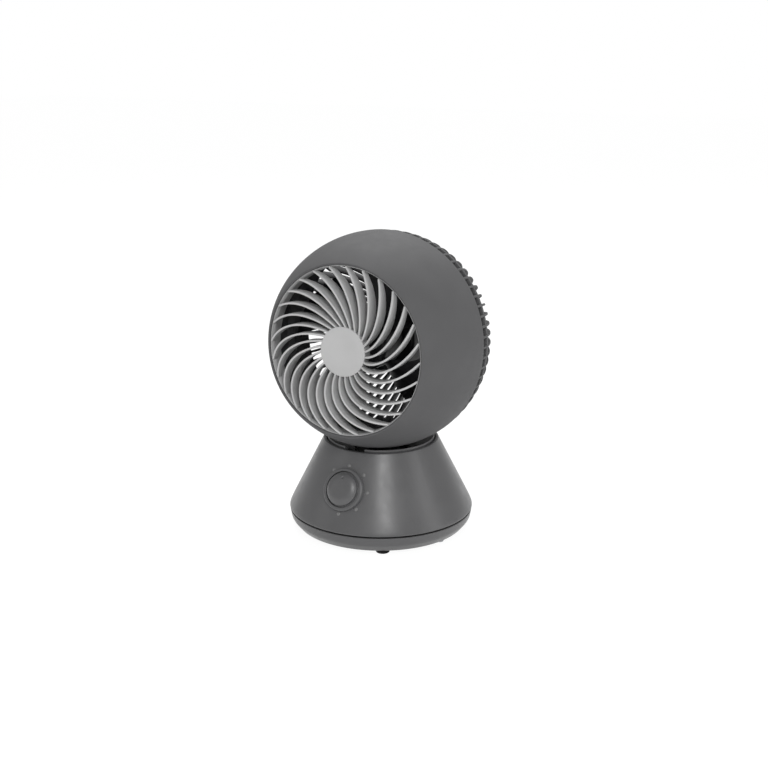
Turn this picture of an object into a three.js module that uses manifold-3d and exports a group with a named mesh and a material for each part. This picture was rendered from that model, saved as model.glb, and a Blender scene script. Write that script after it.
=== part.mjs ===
// Desk air circulator fan: a globe head on a cone base, drawn in millimetres with +Z up.
// The origin is on the floor at the middle of the base, and the fan blows towards -Y.
import * as THREE from "three";
import { mergeVertices } from "three/addons/utils/BufferGeometryUtils.js";
import Module from "manifold-3d";

const wasm = await Module();
wasm.setup();

// ---- Clearances and facets
const GAP = 0.3; // between parts that touch
const ROUND = 48; // facets round a large turned part
const INNER_ROUND = 24; // facets round a turned part inside the casing
const SMALL_ROUND = 12; // facets round a small turned part
const SCREW_ROUND = 8; // facets round a screw

// ---- Globe head. In its own frame +Z is the way the air leaves, +Y is up, and the origin is its centre.
const HEAD_RADIUS = 105; // half the width of the globe
const RUNNER_STANDOFF = 5.4; // of the tilt guide's sliding face, from a sphere of that radius
const RUNNER_OUTER = HEAD_RADIUS + RUNNER_STANDOFF; // radius of the sliding face
const RUNNER_LOW_Z = 78.6; // lowest line of the sliding face, above the floor
const HEAD_CENTRE_Z = RUNNER_LOW_Z + RUNNER_OUTER;
const HEAD_TILT_DEG = 2.6; // how far the head looks up at rest
const SHELL_SEMI_AXIS = 116; // of the front shell, along the head's axis
const SHELL_WALL = 2.4;
const LIP_Z = 72.9; // plane of the front opening
const LIP_DEPTH = 4.4; // how far the opening's lip runs inwards
const LIP_ROUND = 0.9; // rounding of the lip
const LIP_WIDTH = 1.875; // from the shell's outside in to the opening
const SEAM_Z = -9; // where the front shell ends
const SHROUD_FRONT_Z = 7; // of the shroud inside the front shell
const SHROUD_WALL = 2;
const SHROUD_END_Z = -23;
const REAR_DEPTH = 92.5; // centre of the globe to its back
const REAR_SQUARENESS = 2.3; // exponent of the back's rounded outline, where 2 is an ellipse

// ---- Front grille
const RIB_COUNT = 28;
const RIB_THICKNESS = 2.1;
const RIB_CROWN_Z = 82.5; // foremost line of the ribs
const RIB_CROWN_RADIUS = 50.3;
const RIB_CROWN_DROP = 10; // from the crown to the rim
const RIB_EDGE_DEPTH = 6; // depth of a rib at the hub and at the rim
const RIB_MIDDLE_DEPTH = 14; // depth of a rib halfway
const RIB_START_DEG = -6; // where the first rib leaves the hub
const RIB_SWEEP_DEG_PER_MM = 0.65;
const RIB_SWEEP_GROWTH = 0.0026; // degrees per square millimetre
const DUCT_WALL = 1.6;
const DUCT_DEPTH = 14.5;
const DUCT_SETBACK = 1.2; // of the duct's front edge behind the lip plane
const DUCT_EDGE = 0.4; // thickness of that edge
const DUCT_BEVEL = 3.8; // over which the duct's wall thickens behind it
const DUCT_FLANGE = 1.7; // thickness of the flange behind the lip
const HUB_RADIUS = 23.5;
const HUB_FACE_Z = 73.8;
const HUB_DISC_THICKNESS = 2.6;
const HUB_SOCKET_DEPTH = 9;
const HUB_SOCKET_WALL = 3;

// ---- Rear grille
const REAR_RIB_COUNT = 66;
const REAR_RIB_THICKNESS = 2.3;
const REAR_RIB_DEPTH = 10;
const REAR_RIB_START_DEG = 0.7;
const REAR_LONG_STEPS = 3; // stretches of a rib between the ring and the middle ring
const REAR_BAND_FRONT_Z = 1;
const REAR_BAND_WALL = 2.2;
const REAR_RING_Z = -22;
const REAR_RING_WIDTH = 4.5;
const REAR_MIDDLE_RADIUS = 56;
const REAR_MIDDLE_WIDTH = 4;
const REAR_HUB_RADIUS = 37;
const REAR_HUB_THICKNESS = 3;
const REAR_CAP_RADIUS = 31;
const REAR_CAP_THICKNESS = 2;

// ---- Motor and impeller
const SHAFT_RADIUS = 4;
const SHAFT_CLEARANCE = 0.08;
const SHAFT_FRONT_Z = 44;
const SHAFT_REAR_Z = -58;
const BUSH_RADIUS = 8;
const BUSH_LENGTH = 6;
const MOTOR_RADIUS = 34;
const MOTOR_FRONT_Z = -2;
const MOTOR_REAR_Z = -60;
const MOTOR_SPLIT_Z = -31;
const MOTOR_WALL = 2;
const STATOR_HOLE_RADIUS = 18.6;
const STATOR_LENGTH = 24;
const COIL_LENGTH = 7; // of each coil end
const COIL_WALL = 7;
const ROTOR_RADIUS = 18;
const PEDESTAL_RADIUS = 30;
const PEDESTAL_WALL = 3;
const IMPELLER_RADIUS = 74;
const IMPELLER_HUB_RADIUS = 25;
const IMPELLER_REAR_Z = 2;
const IMPELLER_FRONT_Z = 38;
const IMPELLER_WALL = 2.4;
const BLADE_COUNT = 4;
const BLADE_START_DEG = -41; // of the first blade, from the right seen from the front
const BLADE_THICKNESS = 2;
const BLADE_ROOT_DEG = 44; // of arc that a blade covers at the hub
const BLADE_TIP_DEG = 58;
const BLADE_SKEW_DEG = 16; // forward sweep of the tip
const BLADE_ROOT_RISE = 30; // along the axis, at the hub
const BLADE_TIP_RISE = 25;
const BLADE_CAMBER = 4;
const BLADE_MIDDLE_Z = 22;
const NUT_LENGTH = 8;

// ---- Tilt guide below the head, an arc about the head's centre
const RUNNER_THICKNESS = 4;
const RUNNER_HALF_WIDTH = 9;
const RUNNER_WEB_HALF_WIDTH = 5.5;
const RUNNER_FLANGE = 1.8;
const RUNNER_FRONT_DEG = 19; // how far it runs forwards from straight below the head
const RUNNER_BACK_DEG = 28;
const SADDLE_HALF_ARC_DEG = 9;
const SADDLE_WALL = 3.4;
const SADDLE_FLOOR = 1.6;

// ---- Base
const BASE_RADIUS = 90.8; // widest, just above the seam
const BASE_SEAM_Z = 19.6;
const BASE_SEAM_GAP = 1.8;
const BASE_WALL = 2.6;
const CONE_TOP_Z = 90.9;
const CONE_TOP_RADIUS = 56.3;
const CONE_FOOT_Z = 34; // where the straight cone gives way to the rounded corner
const CONE_FOOT_INSET = 5.7;
const CONE_FOOT_RADIUS = BASE_RADIUS - CONE_FOOT_INSET;
const CONE_LIP = 1.2; // rounding of the top edge
const TRAY_BOTTOM_Z = 3.5;
const TRAY_BOTTOM_INSET = 7.7;
const TRAY_BOTTOM_RADIUS = BASE_RADIUS - TRAY_BOTTOM_INSET;
const TRAY_MIDDLE_Z = 10.8;
const TRAY_MIDDLE_INSET = 1.7;
const TRAY_MIDDLE_RADIUS = BASE_RADIUS - TRAY_MIDDLE_INSET;
const FOOT_COUNT = 4;
const FOOT_FIRST_DEG = 30;
const FOOT_RADIUS = 6.5;
const FOOT_INSET = 0.6; // of a foot's edge from the tray's
const FOOT_CIRCLE = TRAY_BOTTOM_RADIUS - FOOT_RADIUS - FOOT_INSET;
const FOOT_STEM_RADIUS = 2.6;
const FOOT_STEM_LENGTH = 5;
const SCREW_COUNT = 3;
const SCREW_FIRST_DEG = 75;
const SCREW_RADIUS = 1.8;
const SCREW_HEAD_RADIUS = 3.6;
const SCREW_HEAD_INSET = 1; // of a screw head's edge from the tray's
const SCREW_CIRCLE = TRAY_BOTTOM_RADIUS - SCREW_HEAD_RADIUS - SCREW_HEAD_INSET;
const SCREW_HEAD_HEIGHT = 1.8;
const SCREW_LENGTH = 24;
const BOSS_RADIUS = 4.8;
const BOSS_TOP_Z = 46;
const BALLAST_RADIUS = 62;
const BALLAST_THICKNESS = 6;

// ---- Turntable in the top of the base
const RUNNER_CLEARANCE = 1.6; // between the tilt guide and the dish's upper face
const DISH_SPHERE = RUNNER_OUTER + RUNNER_CLEARANCE; // radius of that face about the head's centre
const DISH_RIM_GAP = 0.7;
const DISH_WALL = 3.2;
const DISH_SKIRT = 5;
const DISH_FLANGE_Z = 70.5;
const DISH_FLANGE_RADIUS = 34;
const DISH_PLATE_TOP_Z = 75.5;
const DISH_PLATE_RADIUS = 26.5;
const COLLAR_CLEARANCE = 4; // between the globe and the collar's top edge
const COLLAR_WALL = 2.6;
const COLLAR_SLOT_CLEARANCE = 1.4; // beside the tilt guide, which passes through the collar
const STEM_RADIUS = 16.8;
const STEM_BORE = 9;
const STEM_BOTTOM_Z = 44;
const DECK_TOP_Z = 67;
const DECK_THICKNESS = 3.3;
const DECK_SETBACK = 17.4; // of its front edge behind the cone's surface at the dial
const WASHER_INNER = 22;
const WASHER_OUTER = 33;
const NUT_RING_RADIUS = 22;
const NUT_RING_HEIGHT = 5;

// ---- Swing drive
const GEAR_MODULE = 1.5;
const GEAR_TEETH = 40;
const PINION_TEETH = 10;
const GEAR_THICKNESS = 5;
const GEAR_TOP_Z = 59;
const TOOTH_BACKLASH = 0.4;
const TOOTH_ADDENDUM = 0.9; // in modules
const TOOTH_DEDENDUM = 1.25; // in modules
const SWING_MOTOR_RADIUS = 14;
const SWING_MOTOR_HEIGHT = 21;
const SWING_PLATE_HALF_WIDTH = 24;
const SWING_PLATE_DEPTH = 16;
const SWING_PLATE_THICKNESS = 2.4;
const SWING_POST_RADIUS = 3;
const SWING_POST_X = 19.5;
const SWING_SHAFT_RADIUS = 2;

// ---- Speed dial, on the front of the cone
const DIAL_Z = 57.8; // where its axis meets the cone
const KNOB_RADIUS = 15.6;
const KNOB_HEIGHT = 8.5;
const KNOB_CROWN = 3.8; // how far the middle of its face stands above the edge
const KNOB_SEAT = -1; // its underside, from the cone's surface
const KNOB_SHAFT_RADIUS = 3;
const KNOB_SHAFT_LENGTH = 12;
const POINTER_CIRCLE = 10.7; // from the knob's middle to the pointer's
const POINTER_RADIUS = 1.5;
const POINTER_DEPTH = 0.9;
const BEZEL_RADIUS = 20.6;
const BEZEL_HEIGHT = 3.4;
const BEZEL_SKIRT_RADIUS = 18.7;
const BEZEL_SKIRT_LENGTH = 8;
const BEZEL_BORE_GAP = 1.7;
const DOT_CIRCLE = 23.1;
const DOT_RADIUS = 1.8;
const DOT_HEIGHT = 0.8;
const DOT_PITCH_DEG = 45;
const DOT_FIRST_DEG = -45;
const DOT_COUNT = 6;
const SWITCH_SIDE = 24;
const SWITCH_DEPTH = 14;
const SWITCH_BUSH_RADIUS = 5;
const SWITCH_BUSH_LENGTH = 5;

// ---- Electronics and cord inlet
const CARRIER_SIZE = [50, 34, 8];
const BOARD_SIZE = [58, 42, 1.6];
const CAPACITOR_RADIUS = 6;
const CAPACITOR_HEIGHT = 13;
const BOARD_Y = -4;
const GLAND_Z = 27;
const GLAND_RADIUS = 6;
const GLAND_FLANGE_RADIUS = 8;
const GLAND_FLANGE = 1.6;
const GLAND_BORE = 3.4;
const GLAND_LENGTH = 12;

// ---- Materials, with the colours that show in the light
const finish = (color, roughness, metalness = 0) =>
  new THREE.MeshStandardMaterial({ color, roughness, metalness });
const CASE_GREY = finish(0x5c5c5d, 0.55);
const GRILLE_GREY = finish(0xb4b4b4, 0.5);
const BLADE_BLACK = finish(0x161617, 0.45);
const FRAME_BLACK = finish(0x242425, 0.6);
const RUBBER = finish(0x141414, 0.9);
const STEEL = finish(0x9a9c9e, 0.35, 1);
const BRONZE = finish(0x9b7a45, 0.4, 1);
const COPPER = finish(0xa8602c, 0.45, 1);
const NATURAL_PLASTIC = finish(0xd8d6cc, 0.5);
const BOARD_GREEN = finish(0x1f5a36, 0.6);

const radians = THREE.MathUtils.degToRad;
const lerp = THREE.MathUtils.lerp;

// ---- Solids

/** The solid that a closed geometry bounds. */
function solid(geometry) {
  const bare = geometry.index ? geometry.toNonIndexed() : geometry.clone();
  bare.deleteAttribute("normal");
  bare.deleteAttribute("uv");
  const merged = mergeVertices(bare, 1e-4);
  const corners = merged.index.array;
  const triVerts = [];
  for (let i = 0; i < corners.length; i += 3) {
    const [a, b, c] = corners.slice(i, i + 3);
    if (a !== b && b !== c && c !== a) triVerts.push(a, b, c);
  }
  const vertProperties = merged.attributes.position.array;
  return new wasm.Manifold(
    new wasm.Mesh({ numProp: 3, vertProperties, triVerts: new Uint32Array(triVerts) }),
  );
}

/** The geometry of a solid. */
function geometryOf(body) {
  const { vertProperties, triVerts } = body.getMesh();
  const geometry = new THREE.BufferGeometry();
  geometry.setAttribute("position", new THREE.BufferAttribute(new Float32Array(vertProperties), 3));
  geometry.setIndex(new THREE.BufferAttribute(new Uint32Array(triVerts), 1));
  geometry.computeVertexNormals();
  return geometry;
}

const join = (solids) => solids.reduce((all, next) => all.add(next));

/** A profile of [radius, height] turned about Z: up its outside, then down its inside. */
function turned(profile, facets = ROUND) {
  const points = profile.map(([radius, height]) => new THREE.Vector2(radius, height));
  return solid(new THREE.LatheGeometry(points, facets).rotateX(Math.PI / 2));
}

/** A plain ring or disc about Z. */
function ring(inner, outer, low, high, facets = ROUND) {
  if (inner <= 0) {
    return turned([[0, low], [outer, low], [outer, high], [0, high]], facets);
  }
  return turned([[inner, low], [outer, low], [outer, high], [inner, high], [inner, low]], facets);
}

/** A cylinder along Z whose axis stands at (x, y). */
function post(x, y, radius, low, high, facets = SMALL_ROUND) {
  const cylinder = new THREE.CylinderGeometry(radius, radius, high - low, facets);
  return solid(cylinder.rotateX(Math.PI / 2).translate(x, y, (low + high) / 2));
}

/** A box from its middle and its size. */
const block = ([x, y, z], [width, depth, height]) =>
  solid(new THREE.BoxGeometry(width, depth, height).translate(x, y, z));

/** A plate lofted through sections, each two equal rows of points, one down each face. */
function plate(sections) {
  const row = sections[0].left.length;
  const loop = 2 * row;
  const positions = sections.flatMap(({ left, right }) =>
    [...left, ...[...right].reverse()].flatMap((point) => point.toArray()),
  );
  const faces = [];
  const quad = (a, b, c, d) => faces.push(a, c, b, a, d, c);
  for (let s = 0; s + 1 < sections.length; s += 1) {
    for (let i = 0; i < loop; i += 1) {
      const next = (i + 1) % loop;
      quad(s * loop + i, s * loop + next, (s + 1) * loop + next, (s + 1) * loop + i);
    }
  }
  const end = (sections.length - 1) * loop;
  for (let i = 0; i + 1 < row; i += 1) {
    quad(loop - 1 - i, loop - 2 - i, i + 1, i);
    quad(end + i, end + i + 1, end + loop - 2 - i, end + loop - 1 - i);
  }
  const geometry = new THREE.BufferGeometry();
  geometry.setAttribute("position", new THREE.Float32BufferAttribute(positions, 3));
  geometry.setIndex(faces);
  return solid(geometry);
}

/**
 * A wall about Z with openings in it. Each row has an outer and an inner [radius, height], and the
 * angles of its columns in radians; isOpen tells which cells between two rows stay open.
 */
function lattice(rows, isOpen) {
  const count = rows[0].angles.length;
  const at = ([radius, z], angle) => [radius * Math.cos(angle), radius * Math.sin(angle), z];
  const positions = rows.flatMap(({ outer, inner, angles }) =>
    angles.flatMap((angle) => [...at(outer, angle), ...at(inner, angle)]),
  );
  const index = (row, column, side) => 2 * (row * count + (column % count)) + side;
  const faces = [];
  const quad = (a, b, c, d) => faces.push(a, b, c, a, c, d);
  const last = rows.length - 2;
  const open = (row, column) => row < 0 || row > last || isOpen(row, (column + count) % count);
  for (let row = 0; row <= last; row += 1) {
    for (let column = 0; column < count; column += 1) {
      if (open(row, column)) continue;
      const corner = (ahead, aside, side) => index(row + ahead, column + aside, side);
      quad(corner(0, 0, 0), corner(1, 0, 0), corner(1, 1, 0), corner(0, 1, 0));
      quad(corner(0, 1, 1), corner(1, 1, 1), corner(1, 0, 1), corner(0, 0, 1));
      if (open(row, column - 1)) {
        quad(corner(0, 0, 1), corner(1, 0, 1), corner(1, 0, 0), corner(0, 0, 0));
      }
      if (open(row, column + 1)) {
        quad(corner(0, 1, 0), corner(1, 1, 0), corner(1, 1, 1), corner(0, 1, 1));
      }
      if (open(row - 1, column)) {
        quad(corner(0, 0, 1), corner(0, 0, 0), corner(0, 1, 0), corner(0, 1, 1));
      }
      if (open(row + 1, column)) {
        quad(corner(1, 0, 0), corner(1, 0, 1), corner(1, 1, 1), corner(1, 1, 0));
      }
    }
  }
  const geometry = new THREE.BufferGeometry();
  geometry.setAttribute("position", new THREE.Float32BufferAttribute(positions, 3));
  geometry.setIndex(faces);
  return solid(geometry);
}

/** A copy of a solid turned about Z. */
const turnedCopy = (body, degrees) => body.rotate([0, 0, degrees]);

/** Copies of a solid spread evenly round Z. */
const spread = (body, count, first = 0) =>
  Array.from({ length: count }, (_, i) => turnedCopy(body, first + (360 * i) / count));

function mesh(name, material, body) {
  const piece = new THREE.Mesh(geometryOf(body), material);
  piece.name = name;
  return piece;
}

// ---- Head casing

/** Outer radius of the front shell at a height along the head's axis. */
const shellRadius = (z) => HEAD_RADIUS * Math.sqrt(1 - (z / SHELL_SEMI_AXIS) ** 2);

const OPENING_RADIUS = shellRadius(LIP_Z) - LIP_WIDTH;

/** Heights from low to high, evenly spaced. */
const steps = (low, high, count) =>
  Array.from({ length: count + 1 }, (_, i) => lerp(low, high, i / count));

/** Outer radius of the rear grille's band, which slips into the front shell. */
const REAR_BAND_RADIUS = shellRadius(SEAM_Z) - SHELL_WALL - 2 * GAP;

function frontShell() {
  const shoulder = LIP_Z - LIP_ROUND;
  const outside = steps(SEAM_Z, shoulder, 5).map((z) => [shellRadius(z), z]);
  const lip = [
    [OPENING_RADIUS + LIP_ROUND, LIP_Z],
    [OPENING_RADIUS, shoulder],
    [OPENING_RADIUS, LIP_Z - LIP_DEPTH],
  ];
  const wall = (z) => [shellRadius(z) - SHELL_WALL, z];
  const inside = steps(LIP_Z - LIP_DEPTH, SHROUD_FRONT_Z, 3).map(wall);
  const outer = REAR_BAND_RADIUS - REAR_BAND_WALL - 2 * GAP;
  const inner = outer - SHROUD_WALL;
  const shelf = SHROUD_FRONT_Z - 2 * SHROUD_WALL;
  const slant = 0.5;
  const shroud = [
    [inner, shelf + slant], [inner, SHROUD_END_Z], [outer, SHROUD_END_Z], [outer, shelf], wall(shelf),
  ];
  return turned([...outside, ...lip, ...inside, ...shroud, wall(SEAM_Z), outside[0]]);
}

/** Height of a front rib's foremost edge at a radius. */
const ribFront = (radius) => {
  const reach = OPENING_RADIUS - DUCT_WALL - RIB_CROWN_RADIUS;
  return RIB_CROWN_Z - RIB_CROWN_DROP * ((radius - RIB_CROWN_RADIUS) / reach) ** 2;
};

/** Angle of a front rib's middle line at a radius. */
const ribAngle = (radius) => {
  const out = radius - HUB_RADIUS;
  return radians(RIB_START_DEG + RIB_SWEEP_DEG_PER_MM * out + RIB_SWEEP_GROWTH * out * out);
};

function frontRib(inner, outer) {
  const sections = steps(inner, outer, 5).map((radius) => {
    const middle = (radius - inner) / (outer - inner);
    const depth = lerp(RIB_EDGE_DEPTH, RIB_MIDDLE_DEPTH, Math.sin(Math.PI * middle));
    const angle = ribAngle(radius);
    const slope = radius * radians(
      RIB_SWEEP_DEG_PER_MM + 2 * RIB_SWEEP_GROWTH * (radius - HUB_RADIUS),
    );
    const heading = angle + Math.atan(slope);
    const aside = new THREE.Vector2(-Math.sin(heading), Math.cos(heading));
    const spine = new THREE.Vector2(radius * Math.cos(angle), radius * Math.sin(angle));
    const face = (side) => {
      const { x, y } = spine.clone().addScaledVector(aside, (side * RIB_THICKNESS) / 2);
      const front = ribFront(radius);
      return [new THREE.Vector3(x, y, front), new THREE.Vector3(x, y, front - depth)];
    };
    return { left: face(1), right: face(-1) };
  });
  return plate(sections);
}

function frontGrille() {
  const outer = OPENING_RADIUS - GAP;
  const inner = outer - DUCT_WALL;
  const front = LIP_Z - DUCT_SETBACK;
  const flangeTop = LIP_Z - LIP_DEPTH - GAP;
  const flangeLow = flangeTop - DUCT_FLANGE;
  const flangeRadius = shellRadius(flangeTop) - SHELL_WALL - 2 * GAP;
  const duct = turned([
    [outer, front - DUCT_DEPTH], [outer, flangeLow], [flangeRadius, flangeLow],
    [flangeRadius, flangeTop], [outer, flangeTop], [outer, front],
    [outer - DUCT_EDGE, front], [inner, front - DUCT_BEVEL],
    [inner, front - DUCT_DEPTH], [outer, front - DUCT_DEPTH],
  ]);
  const floor = HUB_FACE_Z - HUB_DISC_THICKNESS - GAP;
  const socket = turned([
    [0, floor - HUB_SOCKET_WALL], [HUB_RADIUS, floor - HUB_SOCKET_DEPTH],
    [HUB_RADIUS, floor], [0, floor],
  ], INNER_ROUND);
  const rib = frontRib(HUB_RADIUS - 2, outer - DUCT_WALL / 2);
  return join([duct, socket, ...spread(rib, RIB_COUNT)])
    .subtract(ring(0, HUB_RADIUS + GAP, floor, RIB_CROWN_Z, INNER_ROUND));
}

function hubDisc() {
  const back = HUB_FACE_Z - HUB_DISC_THICKNESS;
  const edge = 0.5;
  return turned([
    [0, back], [HUB_RADIUS - edge, back], [HUB_RADIUS, back + edge],
    [HUB_RADIUS, HUB_FACE_Z - edge], [HUB_RADIUS - edge, HUB_FACE_Z], [0, HUB_FACE_Z],
  ], INNER_ROUND);
}

// ---- Rear grille

/** A point [radius, height] on the globe's rounded back; 0 is the back's middle, 90 the widest circle. */
function backPoint(degrees) {
  const power = 2 / REAR_SQUARENESS;
  const across = Math.sin(radians(degrees)) ** power;
  const along = Math.cos(radians(degrees)) ** power;
  return [HEAD_RADIUS * across, -REAR_DEPTH * along];
}

/** The angle at which backPoint reaches a height, or a radius. */
const backAngleAtHeight = (z) =>
  THREE.MathUtils.radToDeg(Math.acos((-z / REAR_DEPTH) ** (REAR_SQUARENESS / 2)));
const backAngleAtRadius = (radius) =>
  THREE.MathUtils.radToDeg(Math.asin((radius / HEAD_RADIUS) ** (REAR_SQUARENESS / 2)));

/** The outward direction [across, along] at an angle of backPoint. */
function backNormal(degrees) {
  const [radius, z] = backPoint(degrees);
  const [aheadRadius, aheadZ] = backPoint(degrees - 0.5);
  return new THREE.Vector2(z - aheadZ, aheadRadius - radius).normalize();
}

/** The point [radius, height] a little below the globe's outline at an angle of backPoint. */
function backInside(degrees, below) {
  const [radius, z] = backPoint(degrees);
  const { x, y } = backNormal(degrees);
  return [radius - below * x, z - below * y];
}

/** The two edges of every rear rib at a radius. */
function rearRibEdges(radius) {
  const half = Math.asin(REAR_RIB_THICKNESS / 2 / radius);
  return Array.from({ length: 2 * REAR_RIB_COUNT }, (_, i) => {
    const rib = Math.floor(i / 2);
    const side = i % 2 === 0 ? -1 : 1;
    return radians(REAR_RIB_START_DEG + (360 * rib) / REAR_RIB_COUNT) + side * half;
  });
}

function rearGrille() {
  const shoulderAngle = backAngleAtHeight(SEAM_Z - 4 * GAP);
  const middleAngle = backAngleAtRadius(REAR_MIDDLE_RADIUS);
  const ringHalf = THREE.MathUtils.radToDeg(REAR_RING_WIDTH / 2 / HEAD_RADIUS);
  const middleHalf = THREE.MathUtils.radToDeg(REAR_MIDDLE_WIDTH / 2 / HEAD_RADIUS);
  const ringAngle = backAngleAtHeight(REAR_RING_Z);
  const hubEdge = backAngleAtRadius(REAR_HUB_RADIUS);
  const row = (outer, inner) =>
    ({ outer, inner, angles: rearRibEdges(Math.max(outer[0], SHAFT_RADIUS)) });
  const onBack = (degrees) =>
    row(backInside(degrees, GAP), backInside(degrees, GAP + REAR_RIB_DEPTH));
  const bandInner = REAR_BAND_RADIUS - REAR_BAND_WALL;
  const bandRow = (z) => row([REAR_BAND_RADIUS, z], [bandInner, z]);
  const overShroud = (degrees) => {
    const outer = backInside(degrees, GAP);
    return row(outer, [bandInner, outer[1]]);
  };
  const back = -REAR_DEPTH + GAP;
  const floor = back + REAR_CAP_THICKNESS;
  const recess = REAR_CAP_RADIUS + GAP;
  const hubInner = [REAR_HUB_RADIUS, floor + REAR_HUB_THICKNESS];
  const long = steps(ringAngle - ringHalf, middleAngle + middleHalf, REAR_LONG_STEPS).slice(1);
  const rows = [
    bandRow(REAR_BAND_FRONT_Z), bandRow(SEAM_Z - 2 * GAP),
    overShroud(shoulderAngle), overShroud(ringAngle + ringHalf), overShroud(ringAngle - ringHalf),
    ...long.map(onBack),
    onBack(middleAngle - middleHalf), onBack((middleAngle + hubEdge) / 2),
    row([REAR_HUB_RADIUS, back], hubInner),
    row([recess, back], hubInner),
    row([recess, floor], hubInner),
    row([0, floor], [0, hubInner[1]]),
  ];
  const ringRow = 3;
  const middleRow = ringRow + 1 + REAR_LONG_STEPS;
  const isOpen = (index, column) => {
    const gap = column % 2 === 1;
    if (index === 1 || index === 2) return gap;
    if (index > ringRow && index < middleRow) return gap;
    if (index > middleRow && index <= middleRow + 2) return column % 4 !== 0;
    return false;
  };
  return lattice(rows, isOpen);
}

function rearCap() {
  const back = -REAR_DEPTH + GAP;
  return ring(0, REAR_CAP_RADIUS, back, back + REAR_CAP_THICKNESS - GAP);
}

// ---- Motor

function motorPedestal() {
  const low = -REAR_DEPTH + REAR_CAP_THICKNESS + REAR_HUB_THICKNESS + 2 * GAP;
  const high = MOTOR_REAR_Z - GAP;
  return ring(PEDESTAL_RADIUS - PEDESTAL_WALL, PEDESTAL_RADIUS, low, high, INNER_ROUND);
}

/** One half of the motor's can, open at the split, with a seat for its bush. */
function motorCan(closedZ, openZ) {
  const inwards = Math.sign(openZ - closedZ);
  const floor = closedZ + inwards * MOTOR_WALL;
  const seatEnd = closedZ + inwards * (BUSH_LENGTH + MOTOR_WALL);
  const seat = BUSH_RADIUS + GAP;
  const profile = [
    [seat, closedZ], [MOTOR_RADIUS, closedZ], [MOTOR_RADIUS, openZ],
    [MOTOR_RADIUS - MOTOR_WALL, openZ], [MOTOR_RADIUS - MOTOR_WALL, floor],
    [seat + MOTOR_WALL, floor], [seat + MOTOR_WALL, seatEnd], [seat, seatEnd], [seat, closedZ],
  ];
  return turned(inwards > 0 ? profile : profile.reverse(), INNER_ROUND);
}

const bush = (middle) => ring(
  SHAFT_RADIUS + SHAFT_CLEARANCE, BUSH_RADIUS,
  middle - BUSH_LENGTH / 2, middle + BUSH_LENGTH / 2, INNER_ROUND,
);

function statorCore() {
  const outer = MOTOR_RADIUS - MOTOR_WALL - GAP;
  const low = MOTOR_SPLIT_Z - STATOR_LENGTH / 2;
  return ring(STATOR_HOLE_RADIUS, outer, low, low + STATOR_LENGTH, INNER_ROUND);
}

/** One end of the windings, standing on an end of the stator. */
function coilEnd(side) {
  const near = MOTOR_SPLIT_Z + side * (STATOR_LENGTH / 2 + GAP);
  const far = near + side * COIL_LENGTH;
  const inner = STATOR_HOLE_RADIUS + 1;
  return ring(inner, inner + COIL_WALL, Math.min(near, far), Math.max(near, far), INNER_ROUND);
}

const rotorCore = () => ring(
  SHAFT_RADIUS + GAP, ROTOR_RADIUS,
  MOTOR_SPLIT_Z - STATOR_LENGTH / 2, MOTOR_SPLIT_Z + STATOR_LENGTH / 2, INNER_ROUND,
);

const motorShaft = () => ring(0, SHAFT_RADIUS, SHAFT_REAR_Z, SHAFT_FRONT_Z, INNER_ROUND);

function blade() {
  const inner = IMPELLER_HUB_RADIUS - IMPELLER_WALL / 2;
  const sections = steps(inner, IMPELLER_RADIUS, 4).map((radius) => {
    const out = (radius - inner) / (IMPELLER_RADIUS - inner);
    const arc = radians(lerp(BLADE_ROOT_DEG, BLADE_TIP_DEG, out));
    const rise = lerp(BLADE_ROOT_RISE, BLADE_TIP_RISE, out);
    const skew = radians(BLADE_SKEW_DEG * out * out);
    const face = (side) => steps(-0.5, 0.5, 3).map((along) => {
      const angle = skew + arc * along;
      const camber = BLADE_CAMBER * (1 - 4 * along * along);
      const z = BLADE_MIDDLE_Z + rise * along + camber + (side * BLADE_THICKNESS) / 2;
      return new THREE.Vector3(radius * Math.cos(angle), radius * Math.sin(angle), z);
    });
    return { left: face(1), right: face(-1) };
  });
  return plate(sections);
}

function impeller() {
  const rim = 4;
  const inner = IMPELLER_HUB_RADIUS - IMPELLER_WALL;
  const bore = SHAFT_RADIUS + GAP;
  const boss = BUSH_RADIUS;
  const floor = IMPELLER_FRONT_Z - IMPELLER_WALL;
  const hub = turned([
    [inner, IMPELLER_REAR_Z], [IMPELLER_HUB_RADIUS, IMPELLER_REAR_Z],
    [IMPELLER_HUB_RADIUS, IMPELLER_FRONT_Z - rim], [IMPELLER_HUB_RADIUS - rim, IMPELLER_FRONT_Z],
    [bore, IMPELLER_FRONT_Z], [bore, IMPELLER_REAR_Z + rim], [boss, IMPELLER_REAR_Z + rim],
    [boss, floor], [inner - rim, floor], [inner, floor - rim], [inner, IMPELLER_REAR_Z],
  ], INNER_ROUND);
  return join([hub, ...spread(blade(), BLADE_COUNT, BLADE_START_DEG)]);
}

function spinnerNut() {
  const low = IMPELLER_FRONT_Z + GAP;
  const high = low + NUT_LENGTH;
  const nut = turned([
    [0, low], [BUSH_RADIUS, low], [BUSH_RADIUS, high - 2], [BUSH_RADIUS - 2, high], [0, high],
  ], 6);
  return nut.subtract(ring(0, SHAFT_RADIUS + GAP, low - 1, SHAFT_FRONT_Z + GAP, SMALL_ROUND));
}

// ---- Tilt guide. Arcs are turned about the head's centre, along X, and cut to length below it.

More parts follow.
